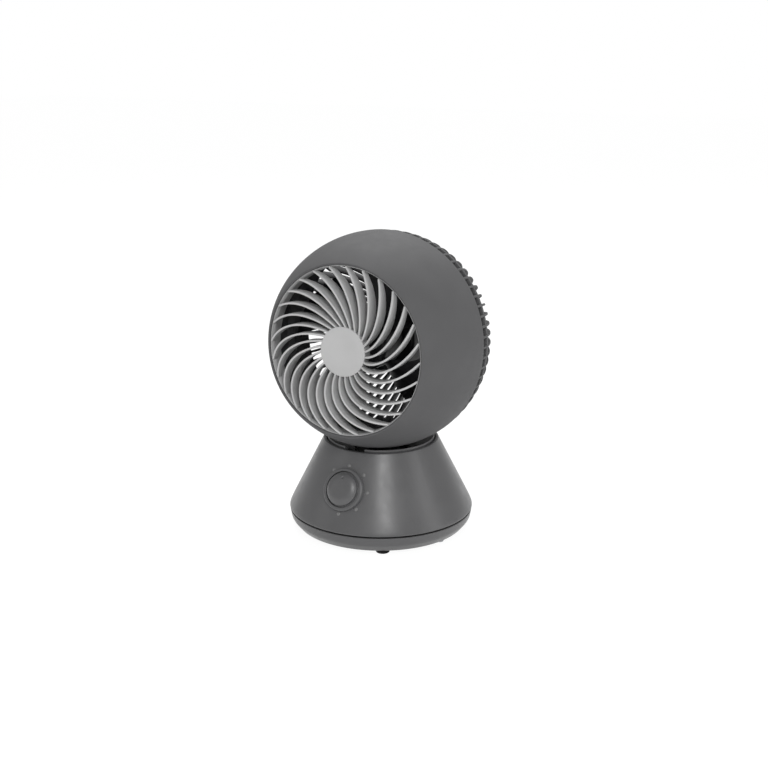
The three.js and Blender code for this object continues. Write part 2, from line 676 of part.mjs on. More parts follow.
/** An arc of an [across, radius] section about X, from front to back of straight below. */
function arcBelow(profile, frontDeg, backDeg) {
  const whole = turned(profile.map(([across, radius]) => [radius, across]), 2 * ROUND);
  const reach = DISH_SPHERE * 2;
  const sector = new THREE.Shape();
  sector.moveTo(0, 0);
  sector.lineTo(-reach * Math.tan(radians(frontDeg)), -reach);
  sector.lineTo(reach * Math.tan(radians(backDeg)), -reach);
  sector.closePath();
  const width = RUNNER_HALF_WIDTH * 4;
  const wedge = new THREE.ExtrudeGeometry(sector, { depth: width, bevelEnabled: false });
  wedge.translate(0, 0, -width / 2);
  // The turned ring's axis and the wedge's depth both go from Z to X.
  return whole.intersect(solid(wedge)).rotate([90, 0, 0]).rotate([0, 0, 90]);
}

/** The space that the globe takes, grown by a gap, in the head's frame. */
function globeSpace(gap) {
  const back = steps(0, 90, 8).map((degrees) => backPoint(degrees));
  const front = steps(0, LIP_Z, 6).slice(1).map((z) => [shellRadius(z), z]);
  const grown = [...back, ...front].map(([radius, z]) => [radius > 0 ? radius + gap : 0, z]);
  return turned([...grown, [0, LIP_Z]]);
}

function tiltRunner() {
  const top = RUNNER_OUTER - RUNNER_THICKNESS;
  const flangeTop = RUNNER_OUTER - RUNNER_FLANGE;
  const right = [
    [RUNNER_WEB_HALF_WIDTH, top], [RUNNER_WEB_HALF_WIDTH, flangeTop],
    [RUNNER_HALF_WIDTH, flangeTop], [RUNNER_HALF_WIDTH, RUNNER_OUTER],
  ];
  const left = right.map(([across, radius]) => [-across, radius]).reverse();
  const arc = arcBelow([...left, ...right, left[0]].reverse(), RUNNER_FRONT_DEG, RUNNER_BACK_DEG);
  return arc.rotate([HEAD_TILT_DEG - 90, 0, 0]).subtract(globeSpace(GAP));
}

/** The channel that grips the runner's flanges, with a foot on the turntable. */
function tiltSaddle() {
  const inner = RUNNER_OUTER + GAP;
  const hookTop = RUNNER_OUTER - RUNNER_THICKNESS + 2 * GAP;
  const hookLow = RUNNER_OUTER - RUNNER_FLANGE - GAP;
  const wallInner = RUNNER_HALF_WIDTH + GAP;
  const wallOuter = wallInner + SADDLE_WALL;
  const hookEdge = RUNNER_WEB_HALF_WIDTH + 2 * GAP;
  const floor = inner + SADDLE_FLOOR;
  const right = [
    [wallInner, inner], [wallInner, hookLow], [hookEdge, hookLow],
    [hookEdge, hookTop], [wallOuter, hookTop], [wallOuter, floor],
  ];
  const left = right.map(([across, radius]) => [-across, radius]).reverse();
  const profile = [...right, ...left, right[0]].reverse();
  const channel = arcBelow(profile, SADDLE_HALF_ARC_DEG, SADDLE_HALF_ARC_DEG);
  const footTop = HEAD_CENTRE_Z - inner - SADDLE_FLOOR / 2;
  const footLow = DISH_PLATE_TOP_Z + GAP;
  const foot = ring(STEM_BORE, wallOuter, footLow, footTop, INNER_ROUND);
  return channel.translate([0, 0, HEAD_CENTRE_Z]).add(foot);
}

// ---- Base shells

/** Outline of the upper housing from the seam to its top edge. */
function coneOutline(inset) {
  const low = BASE_SEAM_Z + BASE_SEAM_GAP / 2;
  const bend = CONE_FOOT_Z - (BASE_RADIUS - CONE_FOOT_RADIUS) / Math.tan(CONE_HALF_ANGLE);
  const corner = new THREE.QuadraticBezierCurve(
    new THREE.Vector2(BASE_RADIUS - inset, low + GAP),
    new THREE.Vector2(BASE_RADIUS - inset, bend),
    new THREE.Vector2(CONE_FOOT_RADIUS - inset, CONE_FOOT_Z),
  );
  return [[BASE_RADIUS - inset, low], ...corner.getPoints(3).map((point) => point.toArray())];
}

/** Outer radius of the straight cone at a height. */
const coneRadius = (z) => {
  const along = (z - CONE_FOOT_Z) / (CONE_TOP_Z - CONE_FOOT_Z);
  return lerp(CONE_FOOT_RADIUS, CONE_TOP_RADIUS, along);
};

const CONE_HALF_ANGLE = Math.atan(
  (CONE_FOOT_RADIUS - CONE_TOP_RADIUS) / (CONE_TOP_Z - CONE_FOOT_Z),
);

/** Puts a solid drawn along +Z, from the cone's surface outwards, on the dial's axis. */
const onDial = (body) => body
  .rotate([90 - THREE.MathUtils.radToDeg(CONE_HALF_ANGLE), 0, 0])
  .translate([0, -coneRadius(DIAL_Z), DIAL_Z]);

/** Puts a solid drawn along +Z at a floor point seen from the front at an angle. */
const onCircle = (body, radius, degrees) =>
  body.translate([radius * Math.sin(radians(degrees)), -radius * Math.cos(radians(degrees)), 0]);

/** Angles spread evenly round the base, counted from the front. */
const evenAngles = (first, count) => Array.from({ length: count }, (_, i) => first + (360 * i) / count);

const feetAngles = evenAngles(FOOT_FIRST_DEG, FOOT_COUNT);
const screwAngles = evenAngles(SCREW_FIRST_DEG, SCREW_COUNT);

/** The raised dots round the dial, each standing on the cone. */
function dialDots() {
  return Array.from({ length: DOT_COUNT }, (_, i) => {
    const angle = radians(DOT_FIRST_DEG + i * DOT_PITCH_DEG);
    const x = DOT_CIRCLE * Math.sin(angle);
    const z = DIAL_Z + DOT_CIRCLE * Math.cos(angle) * Math.cos(CONE_HALF_ANGLE);
    const y = -Math.sqrt(coneRadius(z) ** 2 - x * x);
    const turn = THREE.MathUtils.radToDeg(Math.atan2(x, -y));
    return post(0, 0, DOT_RADIUS, -1, DOT_HEIGHT, SCREW_ROUND)
      .rotate([90 - THREE.MathUtils.radToDeg(CONE_HALF_ANGLE), 0, turn])
      .translate([x, y, z]);
  });
}

function coneShell() {
  const outside = coneOutline(0);
  const inside = coneOutline(BASE_WALL);
  const wallTop = BASE_WALL / Math.cos(CONE_HALF_ANGLE);
  const innerTop = [CONE_TOP_RADIUS - wallTop, CONE_TOP_Z - CONE_LIP];
  return turned([
    ...outside,
    [CONE_TOP_RADIUS, CONE_TOP_Z - CONE_LIP],
    [CONE_TOP_RADIUS - CONE_LIP, CONE_TOP_Z],
    innerTop,
    ...inside.reverse(),
    outside[0],
  ]);
}

function baseCone() {
  const boss = post(0, 0, BOSS_RADIUS, BASE_SEAM_Z + BASE_SEAM_GAP, BOSS_TOP_Z, SCREW_ROUND);
  const hole = post(0, 0, SCREW_RADIUS + GAP, 0, TRAY_BOTTOM_Z + SCREW_LENGTH + 1, SCREW_ROUND);
  const outline = turned([[0, BASE_SEAM_Z], ...coneOutline(GAP), [0, CONE_TOP_Z]]);
  const bosses = screwAngles.map((angle) => onCircle(boss, SCREW_CIRCLE, angle).intersect(outline));
  const dialHole = onDial(post(0, 0, BEZEL_SKIRT_RADIUS + GAP, -BEZEL_RADIUS, BEZEL_RADIUS, INNER_ROUND));
  const glandHole = post(0, 0, GLAND_RADIUS + GAP, BASE_RADIUS / 2, BASE_RADIUS * 2)
    .rotate([-90, 0, 0])
    .translate([0, 0, GLAND_Z]);
  return screwAngles.reduce(
    (body, angle) => body.subtract(onCircle(hole, SCREW_CIRCLE, angle)),
    join([coneShell(), ...dialDots(), ...bosses]).subtract(dialHole).subtract(glandHole),
  );
}

function baseTray() {
  const top = BASE_SEAM_Z - BASE_SEAM_GAP / 2;
  const floor = TRAY_BOTTOM_Z + BASE_WALL;
  const tray = turned([
    [0, TRAY_BOTTOM_Z], [TRAY_BOTTOM_RADIUS - 1, TRAY_BOTTOM_Z],
    [TRAY_BOTTOM_RADIUS, TRAY_BOTTOM_Z + 1],
    [TRAY_MIDDLE_RADIUS, TRAY_MIDDLE_Z], [BASE_RADIUS - GAP, top],
    [BASE_RADIUS - BASE_WALL, top], [TRAY_MIDDLE_RADIUS - BASE_WALL, TRAY_MIDDLE_Z],
    [TRAY_BOTTOM_RADIUS - BASE_WALL, floor], [0, floor],
  ]);
  const stemHole = post(0, 0, FOOT_STEM_RADIUS + GAP, 0, floor * 2, SCREW_ROUND);
  const screwHole = post(0, 0, SCREW_RADIUS + GAP, 0, floor * 2, SCREW_ROUND);
  const holes = [
    ...feetAngles.map((angle) => onCircle(stemHole, FOOT_CIRCLE, angle)),
    ...screwAngles.map((angle) => onCircle(screwHole, SCREW_CIRCLE, angle)),
  ];
  return holes.reduce((body, hole) => body.subtract(hole), tray);
}

function foot(angle) {
  const top = TRAY_BOTTOM_Z - GAP;
  const pad = turned([
    [0, 0], [FOOT_RADIUS - 0.4, 0], [FOOT_RADIUS, 0.4], [FOOT_RADIUS, top],
    [FOOT_STEM_RADIUS, top], [FOOT_STEM_RADIUS, top + FOOT_STEM_LENGTH], [0, top + FOOT_STEM_LENGTH],
  ], SMALL_ROUND);
  return onCircle(pad, FOOT_CIRCLE, angle);
}

function trayScrew(angle) {
  const top = TRAY_BOTTOM_Z - GAP;
  const screw = turned([
    [0, top - SCREW_HEAD_HEIGHT], [SCREW_HEAD_RADIUS, top - SCREW_HEAD_HEIGHT],
    [SCREW_HEAD_RADIUS, top], [SCREW_RADIUS, top], [SCREW_RADIUS, top + SCREW_LENGTH],
    [0, top + SCREW_LENGTH],
  ], SCREW_ROUND);
  return onCircle(screw, SCREW_CIRCLE, angle);
}

const ballastPlate = () => {
  const low = TRAY_BOTTOM_Z + BASE_WALL + GAP;
  return ring(0, BALLAST_RADIUS, low, low + BALLAST_THICKNESS, INNER_ROUND);
};

// ---- Turntable

const deckRadius = coneRadius(DECK_TOP_Z) - BASE_WALL / Math.cos(CONE_HALF_ANGLE) - GAP;

/** The shelf that carries the turntable, cut back at the front for the dial. */
function deck() {
  const shelf = ring(STEM_RADIUS + GAP, deckRadius, DECK_TOP_Z - DECK_THICKNESS, DECK_TOP_Z);
  const front = coneRadius(DIAL_Z) - DECK_SETBACK;
  const reach = deckRadius - front;
  const cut = block([0, -front - reach / 2, DECK_TOP_Z], [2 * deckRadius, reach, 4 * DECK_THICKNESS]);
  return shelf.subtract(cut);
}

const panWasher = () => ring(
  WASHER_INNER, WASHER_OUTER, DECK_TOP_Z + GAP, DISH_FLANGE_Z - GAP, INNER_ROUND,
);

/** Height, below the globe, of a sphere about the head's centre. */
const underGlobe = (radius, sphere) => HEAD_CENTRE_Z - Math.sqrt(sphere ** 2 - radius ** 2);

/** Heights of the dish's upper face and of its collar, which stay clear of the tilting globe. */
const dishTop = (radius) => underGlobe(radius, DISH_SPHERE);
const collarTop = (radius) => underGlobe(radius, HEAD_RADIUS + COLLAR_CLEARANCE);

function neckDish() {
  const rim = CONE_TOP_RADIUS - BASE_WALL / Math.cos(CONE_HALF_ANGLE) - DISH_RIM_GAP;
  const rimTop = dishTop(rim);
  const collarInner = rim - COLLAR_WALL;
  const hollow = steps(collarInner, DISH_PLATE_RADIUS, 3).map((radius) => [radius, dishTop(radius)]);
  const dish = turned([
    [STEM_RADIUS, STEM_BOTTOM_Z], [STEM_RADIUS, DISH_FLANGE_Z], [DISH_FLANGE_RADIUS, DISH_FLANGE_Z],
    [DISH_FLANGE_RADIUS, dishTop(DISH_FLANGE_RADIUS) - DISH_WALL],
    [rim - DISH_WALL, rimTop - DISH_SKIRT], [rim, rimTop - DISH_SKIRT],
    [rim, collarTop(rim)], [collarInner, collarTop(collarInner)],
    ...hollow,
    [DISH_PLATE_RADIUS - 1, DISH_PLATE_TOP_Z], [STEM_BORE, DISH_PLATE_TOP_Z],
    [STEM_BORE, STEM_BOTTOM_Z], [STEM_RADIUS, STEM_BOTTOM_Z],
  ]);
  const slotWidth = 2 * (RUNNER_HALF_WIDTH + COLLAR_SLOT_CLEARANCE);
  const height = 2 * (collarTop(rim) - dishTop(collarInner));
  const slot = block([0, 0, dishTop(collarInner) + height / 2], [slotWidth, 3 * rim, height]);
  return dish.subtract(slot);
}

/** A spur gear of trapezoid teeth about Z. */
function gear(teeth, bore, low, startDeg) {
  const pitch = (teeth * GEAR_MODULE) / 2;
  const tip = pitch + TOOTH_ADDENDUM * GEAR_MODULE;
  const root = pitch - TOOTH_DEDENDUM * GEAR_MODULE;
  const half = (Math.PI * GEAR_MODULE - TOOTH_BACKLASH) / 4 / pitch;
  const shape = new THREE.Shape();
  for (let i = 0; i < teeth; i += 1) {
    const middle = radians(startDeg) + (2 * Math.PI * i) / teeth;
    const corners = [[root, -1.55], [tip, -0.5], [tip, 0.5], [root, 1.55]];
    corners.forEach(([radius, share]) => {
      const angle = middle + share * half;
      const point = [radius * Math.cos(angle), radius * Math.sin(angle)];
      if (shape.curves.length === 0 && i === 0 && share === -1.55) shape.moveTo(...point);
      else shape.lineTo(...point);
    });
  }
  shape.closePath();
  const blank = new THREE.ExtrudeGeometry(shape, { depth: GEAR_THICKNESS, bevelEnabled: false });
  const hole = ring(0, bore, low - 1, low + GEAR_THICKNESS + 1, INNER_ROUND);
  return solid(blank.translate(0, 0, low)).subtract(hole);
}

const GEAR_LOW_Z = GEAR_TOP_Z - GEAR_THICKNESS;
const GEAR_CENTRES = ((GEAR_TEETH + PINION_TEETH) * GEAR_MODULE) / 2;

const turntableGear = () => gear(GEAR_TEETH, STEM_RADIUS + GAP, GEAR_LOW_Z, 90 + 180 / GEAR_TEETH);

const stemNut = () => ring(
  STEM_RADIUS + GAP, NUT_RING_RADIUS, GEAR_LOW_Z - GAP - NUT_RING_HEIGHT, GEAR_LOW_Z - GAP, INNER_ROUND,
);

const swingPinion = () => gear(PINION_TEETH, SWING_SHAFT_RADIUS + GAP, GEAR_LOW_Z, 270)
  .translate([0, GEAR_CENTRES, 0]);

function swingMotor() {
  const plateTop = GEAR_LOW_Z - 2;
  const plateLow = plateTop - SWING_PLATE_THICKNESS;
  const can = post(0, GEAR_CENTRES, SWING_MOTOR_RADIUS, plateLow - SWING_MOTOR_HEIGHT, plateLow);
  const flange = block(
    [0, GEAR_CENTRES, (plateTop + plateLow) / 2],
    [2 * SWING_PLATE_HALF_WIDTH, SWING_PLATE_DEPTH, SWING_PLATE_THICKNESS],
  );
  const postTop = DECK_TOP_Z - DECK_THICKNESS - GAP;
  const posts = [-1, 1].map((side) => post(
    side * SWING_POST_X, GEAR_CENTRES + SWING_POST_RADIUS, SWING_POST_RADIUS,
    plateLow, postTop, SCREW_ROUND,
  ));
  const shaft = post(0, GEAR_CENTRES, SWING_SHAFT_RADIUS, plateLow, GEAR_TOP_Z);
  return join([can, flange, shaft, ...posts]);
}

// ---- Speed dial

function dialBezel() {
  const bore = KNOB_RADIUS + BEZEL_BORE_GAP;
  const round = 1.2;
  const collar = turned([
    [bore, -BEZEL_SKIRT_LENGTH], [BEZEL_RADIUS, -BEZEL_SKIRT_LENGTH],
    [BEZEL_RADIUS, BEZEL_HEIGHT - round], [BEZEL_RADIUS - round, BEZEL_HEIGHT],
    [bore, BEZEL_HEIGHT], [bore, -BEZEL_SKIRT_LENGTH],
  ]);
  const inside = turned([
    [0, BASE_SEAM_Z], [BASE_RADIUS + GAP, BASE_SEAM_Z],
    [CONE_FOOT_RADIUS + GAP, CONE_FOOT_Z], [CONE_TOP_RADIUS + GAP, CONE_TOP_Z], [0, CONE_TOP_Z],
  ]);
  const skirt = ring(bore, BEZEL_SKIRT_RADIUS, -BEZEL_SKIRT_LENGTH, BEZEL_HEIGHT - round);
  return onDial(collar).subtract(inside).add(onDial(skirt));
}

/** Height of the knob's crowned face at a radius. */
const knobFace = (radius) => KNOB_HEIGHT - KNOB_CROWN * (radius / KNOB_RADIUS) ** 4;

/** The knob on its own axis, its face outwards, then put on the dial. */
function speedKnob() {
  const low = KNOB_SEAT - KNOB_SHAFT_LENGTH;
  const face = steps(KNOB_RADIUS, 0, 5).map((radius) => [radius, knobFace(radius)]);
  const knob = turned([
    [0, low], [KNOB_SHAFT_RADIUS, low], [KNOB_SHAFT_RADIUS, KNOB_SEAT], [KNOB_RADIUS, KNOB_SEAT],
    ...face,
  ], INNER_ROUND);
  const pressed = knobFace(POINTER_CIRCLE) - POINTER_DEPTH;
  const pointer = post(0, POINTER_CIRCLE, POINTER_RADIUS, pressed, KNOB_HEIGHT + 1, SCREW_ROUND);
  return onDial(knob.subtract(pointer));
}

function rotarySwitch() {
  const front = -BEZEL_SKIRT_LENGTH - GAP;
  const body = block([0, 0, front - SWITCH_DEPTH / 2], [SWITCH_SIDE, SWITCH_SIDE, SWITCH_DEPTH]);
  const neck = post(0, 0, SWITCH_BUSH_RADIUS, front - 1, front + SWITCH_BUSH_LENGTH);
  const bore = post(
    0, 0, KNOB_SHAFT_RADIUS + GAP, KNOB_SEAT - KNOB_SHAFT_LENGTH - GAP, front + SWITCH_BUSH_LENGTH + 1,
  );
  const flange = ring(SWITCH_BUSH_RADIUS - 1, BEZEL_SKIRT_RADIUS, front - 2, front, INNER_ROUND);
  return onDial(join([body, neck, flange]).subtract(bore));
}

// ---- Electronics and cord inlet

const ballastTop = TRAY_BOTTOM_Z + BASE_WALL + GAP + BALLAST_THICKNESS;

const boardCarrier = () => block([0, BOARD_Y, ballastTop + GAP + CARRIER_SIZE[2] / 2], CARRIER_SIZE);

function controlBoard() {
  const low = ballastTop + CARRIER_SIZE[2] + 2 * GAP;
  const board = block([0, BOARD_Y, low + BOARD_SIZE[2] / 2], BOARD_SIZE);
  const corner = BOARD_SIZE[0] / 2 - 2 * CAPACITOR_RADIUS;
  return board.add(post(corner, BOARD_Y, CAPACITOR_RADIUS, low, low + CAPACITOR_HEIGHT));
}

/** The bushing that the supply cord would come out of, in the back of the cone. */
function cordGland() {
  const wall = BASE_RADIUS + 1;
  const gland = turned([
    [GLAND_BORE, wall - GLAND_LENGTH], [GLAND_RADIUS, wall - GLAND_LENGTH], [GLAND_RADIUS, wall],
    [GLAND_FLANGE_RADIUS, wall], [GLAND_FLANGE_RADIUS, wall + GLAND_FLANGE],
    [GLAND_BORE, wall + GLAND_FLANGE], [GLAND_BORE, wall - GLAND_LENGTH],
  ], SMALL_ROUND);
  return gland.rotate([-90, 0, 0]).translate([0, 0, GLAND_Z]);
}

// ---- Assembly

const rotor = new THREE.Group();
rotor.add(
  mesh("impeller", BLADE_BLACK, impeller()),
  mesh("motor_shaft", STEEL, motorShaft()),
  mesh("rotor_core", STEEL, rotorCore()),
  mesh("spinner_nut", BLADE_BLACK, spinnerNut()),
);

const head = new THREE.Group();
head.position.set(0, 0, HEAD_CENTRE_Z);
head.rotation.x = Math.PI / 2 - radians(HEAD_TILT_DEG);
head.add(
  rotor,
  mesh("front_shell", CASE_GREY, frontShell()),
  mesh("front_grille", GRILLE_GREY, frontGrille()),
  mesh("hub_disc", GRILLE_GREY, hubDisc()),
  mesh("rear_grille", CASE_GREY, rearGrille()),
  mesh("rear_cap", CASE_GREY, rearCap()),
  mesh("motor_pedestal", FRAME_BLACK, motorPedestal()),
  mesh("motor_front_can", STEEL, motorCan(MOTOR_FRONT_Z, MOTOR_SPLIT_Z + GAP / 2)),
  mesh("motor_rear_can", STEEL, motorCan(MOTOR_REAR_Z, MOTOR_SPLIT_Z - GAP / 2)),
  mesh("front_bush", BRONZE, bush(MOTOR_FRONT_Z - BUSH_LENGTH / 2 - MOTOR_WALL / 2)),
  mesh("rear_bush", BRONZE, bush(MOTOR_REAR_Z + BUSH_LENGTH / 2 + MOTOR_WALL / 2)),
  mesh("stator_core", STEEL, statorCore()),
  mesh("front_coil", COPPER, coilEnd(1)),
  mesh("rear_coil", COPPER, coilEnd(-1)),
  mesh("tilt_runner", FRAME_BLACK, tiltRunner()),
);

const turntable = new THREE.Group();
turntable.add(
  mesh("neck_dish", CASE_GREY, neckDish()),
  mesh("tilt_saddle", FRAME_BLACK, tiltSaddle()),
  mesh("turntable_gear", NATURAL_PLASTIC, turntableGear()),
  mesh("stem_nut", STEEL, stemNut()),
);

const base = new THREE.Group();
base.add(
  mesh("base_cone", CASE_GREY, baseCone()),
  mesh("base_tray", CASE_GREY, baseTray()),
  mesh("deck", FRAME_BLACK, deck()),
  mesh("pan_washer", NATURAL_PLASTIC, panWasher()),
  mesh("ballast_plate", STEEL, ballastPlate()),
  mesh("board_carrier", FRAME_BLACK, boardCarrier()),
  mesh("control_board", BOARD_GREEN, controlBoard()),
  mesh("swing_motor", STEEL, swingMotor()),
  mesh("dial_bezel", CASE_GREY, dialBezel()),
  mesh("rotary_switch", FRAME_BLACK, rotarySwitch()),
  mesh("cord_gland", RUBBER, cordGland()),
  ...feetAngles.map((angle, i) => mesh(`foot_${i + 1}`, RUBBER, foot(angle))),
  ...screwAngles.map((angle, i) => mesh(`tray_screw_${i + 1}`, STEEL, trayScrew(angle))),
);

const fan = new THREE.Group();
fan.add(
  base,
  turntable,
  head,
  mesh("swing_pinion", NATURAL_PLASTIC, swingPinion()),
  mesh("speed_knob", CASE_GREY, speedKnob()),
);

export default fan;
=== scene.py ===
"""Looks of a desk air circulator fan: a globe head on a cone base.

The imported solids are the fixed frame. This script lays finished surfaces and materials over them,
sets the camera and the light, and moves nothing. Sizes in the classes are millimetres; the meshes
are metres. +Z is up and the fan blows towards -Y.
"""

import logging
import math
from dataclasses import dataclass
from enum import Enum
from typing import Optional, Sequence

import bmesh
import bpy
import numpy as np
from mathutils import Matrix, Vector


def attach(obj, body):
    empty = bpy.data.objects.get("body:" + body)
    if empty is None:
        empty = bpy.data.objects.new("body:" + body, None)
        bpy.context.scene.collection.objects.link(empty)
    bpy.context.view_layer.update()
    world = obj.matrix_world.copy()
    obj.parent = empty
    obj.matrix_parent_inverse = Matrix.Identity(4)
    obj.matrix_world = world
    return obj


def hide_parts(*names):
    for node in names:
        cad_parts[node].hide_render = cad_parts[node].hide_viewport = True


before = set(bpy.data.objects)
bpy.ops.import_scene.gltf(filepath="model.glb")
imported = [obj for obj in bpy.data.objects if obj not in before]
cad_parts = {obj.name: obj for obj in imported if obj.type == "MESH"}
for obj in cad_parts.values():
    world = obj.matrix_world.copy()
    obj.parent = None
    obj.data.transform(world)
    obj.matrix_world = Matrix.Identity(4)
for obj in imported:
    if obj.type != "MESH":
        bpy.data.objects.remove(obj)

LOG = logging.getLogger("fan")
MM = 0.001
GAP = 0.3  # between pieces that touch

SHARP_DEG = 35.0  # edges that turn more than this stay sharp
WELD = 2e-6  # metres within which vertices are one
COLLAPSED = 1e-7  # metres below which an edge is nothing
STRAIGHT = 1e-3  # radians off a straight line, below which a corner isn't rounded
EDGE_SHARE = 0.49  # most of an edge that the rounding of one of its ends takes
HEAD_Z = 189.0
HEAD_TILT_DEG = 2.6

Array = np.ndarray
Triple = tuple[float, float, float]  # a point, a direction, a colour, or a corner and its rounding
Socket = bpy.types.NodeSocket


class Body(Enum):
    """The rigid bodies that pieces ride on."""

    BASE = "base"
    TURNTABLE = "turntable"
    HEAD = "head"
    ROTOR = "rotor"
    KNOB = "knob"


# --- Surfaces ---


@dataclass(frozen=True)
class Placement:
    """Where a piece's own axes stand: its own +Z and +Y in the fan's frame, and its origin."""

    origin: Triple = (0.0, 0.0, 0.0)
    forward: Triple = (0.0, 0.0, 1.0)
    upward: Triple = (0.0, 1.0, 0.0)

    @staticmethod
    def facing(origin: Triple, rise: float, turn: float = 0.0) -> "Placement":
        """Axes whose +Z looks out of the fan's front.

        Args:
            origin: Where the axes stand.
            rise: How far +Z is tipped up, in radians.
            turn: How far it is turned to the right as the fan is seen, in radians.

        Returns:
            The placement, with its +Y pointing up.
        """
        ahead, above = math.cos(rise), math.sin(rise)
        forward = (math.sin(turn) * ahead, -math.cos(turn) * ahead, above)
        upward = (-math.sin(turn) * above, math.cos(turn) * above, ahead)
        return Placement(origin, forward, upward)

    def apply(self, points: Array) -> Array:
        """Carries points from the piece's axes to the fan's frame.

        The new point is origin + x * side + y * upward + z * forward, where side is
        upward cross forward.

        Args:
            points: An array whose last axis holds x, y and z.

        Returns:
            An array of the same shape.
        """
        forward = np.array(self.forward)
        upward = np.array(self.upward)
        side = np.cross(upward, forward)
        return np.array(self.origin) + points @ np.stack([side, upward, forward])


@dataclass
class Surface:
    """Vertices in millimetres and the faces between them."""

    vertices: Array
    faces: Array

    @staticmethod
    def joined(parts: Sequence["Surface"]) -> "Surface":
        """Puts several surfaces into one.

        Args:
            parts: The surfaces, all in the same axes.

        Returns:
            One surface, in which each part keeps its own vertices.
        """
        counts = np.cumsum([0] + [len(part.vertices) for part in parts[:-1]])
        faces = np.concatenate([part.faces + start for part, start in zip(parts, counts)])
        return Surface(np.concatenate([part.vertices for part in parts]), faces)

    def placed(self, placement: Placement) -> "Surface":
        """A copy carried to the fan's frame."""
        return Surface(placement.apply(self.vertices), self.faces)


def grid(points: Array, wrap_rows: bool = False, wrap_columns: bool = False) -> Surface:
    """Quads between neighbouring points of a grid.

    Args:
        points: Rows by columns by 3. Seen from outside, rows run to the right and columns up.
        wrap_rows: Whether the last row meets the first.
        wrap_columns: Whether the last column meets the first.

    Returns:
        The surface, with one vertex per grid point.
    """
    rows, columns = points.shape[:2]
    index = np.arange(rows * columns).reshape(rows, columns)
    index = np.pad(index, ((0, int(wrap_rows)), (0, int(wrap_columns))), mode="wrap")
    faces = np.stack([index[:-1, :-1], index[1:, :-1], index[1:, 1:], index[:-1, 1:]], axis=-1)
    return Surface(points.reshape(-1, 3), faces.reshape(-1, 4))


def bars(points: Array, flip: bool = False) -> Surface:
    """Closed bars: each is a loop carried along a path, its ends drawn in to the middle.

    Args:
        points: Bars by stations by loop points by 3.
        flip: Turns the faces round, for a loop that runs the other way.

    Returns:
        One surface of all the bars.
    """
    middle = points.mean(axis=2, keepdims=True)
    start = np.broadcast_to(middle[:, :1], points[:, :1].shape)
    end = np.broadcast_to(middle[:, -1:], points[:, -1:].shape)
    full = np.concatenate([start, points, end], axis=1)
    surface = Surface.joined([grid(bar, wrap_columns=True) for bar in full])
    if flip:
        surface.faces = surface.faces[:, ::-1]
    return surface


def fillet(before: Array, corner: Array, after: Array, radius: float, steps: int) -> Array:
    """An arc in place of a corner, tangent to both of its edges.

    Args:
        before: The point before the corner.
        corner: The corner.
        after: The point after it.
        radius: The arc's radius, cut down where an edge is too short for it.
        steps: Edges in the arc.

    Returns:
        The arc's points, or the corner alone where its edges are in line.
    """
    back, ahead = before - corner, after - corner
    back_length, ahead_length = float(np.linalg.norm(back)), float(np.linalg.norm(ahead))
    back, ahead = back / back_length, ahead / ahead_length
    half = 0.5 * math.acos(float(np.clip(back @ ahead, -1.0, 1.0)))
    if half > 0.5 * math.pi - STRAIGHT:
        return corner[None, :]
    reach = min(radius / math.tan(half), EDGE_SHARE * back_length, EDGE_SHARE * ahead_length)
    radius = reach * math.tan(half)
    bisector = (back + ahead) / np.linalg.norm(back + ahead)
    centre = corner + bisector * radius / math.sin(half)
    first = corner + back * reach - centre
    last = corner + ahead * reach - centre
    sweep = math.atan2(float(first[0] * last[1] - first[1] * last[0]), float(first @ last))
    turn = np.linspace(0.0, sweep, steps + 1)[:, None]
    across = np.array([-first[1], first[0]])
    return centre + np.cos(turn) * first + np.sin(turn) * across


def outline(rows: Sequence[Triple], closed: bool = False, steps: int = 6) -> Array:
    """A profile of straight edges with rounded corners.

    Args:
        rows: For each corner its radius, its height, and its rounding or 0 to keep it sharp.
        closed: Whether the last corner meets the first.
        steps: Edges in each arc.

    Returns:
        Points of [radius, height], the first one repeated at the end where it is closed.
    """
    points = np.array(rows, float)[:, :2]
    count = len(rows)
    pieces = []
    for i, (_, _, rounding) in enumerate(rows):
        is_end = not closed and i in (0, count - 1)
        if rounding <= 0 or is_end:
            pieces.append(points[i][None, :])
            continue
        after = points[(i + 1) % count]
        pieces.append(fillet(points[i - 1], points[i], after, rounding, steps))
    profile = np.concatenate(pieces)
    return np.concatenate([profile, profile[:1]]) if closed else profile


def revolve(profile: Array, facets: int) -> Surface:
    """Turns a profile about Z: (radius, height) goes to (r cos a, r sin a, h) for each angle a.

    Args:
        profile: Points of [radius, height], up the outside and then down the inside.
        facets: Steps round the axis.

    Returns:
        The surface; points on the axis coincide there until the mesh is welded.
    """
    angle = np.linspace(0.0, 2.0 * math.pi, facets, endpoint=False)[:, None]
    radius, height = profile[:, 0], profile[:, 1]
    upright = np.broadcast_to(height, (facets, len(height)))
    points = np.stack([radius * np.cos(angle), radius * np.sin(angle), upright], axis=-1)
    return grid(points, wrap_rows=True)


def turned(rows: Sequence[Triple], facets: int, closed: bool = False, steps: int = 6) -> Surface:
    """Turns a rounded outline about Z; the arguments are those of outline and revolve."""
    return revolve(outline(rows, closed, steps), facets)


def bar_section(front: float, depth: float, back: float, rounding: float, steps: int = 3) -> Array:
    """A bar's section: a front edge, tapering sides and a back edge.

    Args:
        front: Half the width of the front edge.
        depth: How far behind it the back edge is.
        back: Half the width of the back edge.
        rounding: Of all four corners.
        steps: Edges in each corner's arc.

    Returns:
        A loop of points of [across, depth], with the front at 0 and the back below it.
    """
    corners = ((-front, 0.0), (front, 0.0), (back, -depth), (-back, -depth))
    return outline([(*corner, rounding) for corner in corners], closed=True, steps=steps)[:-1]


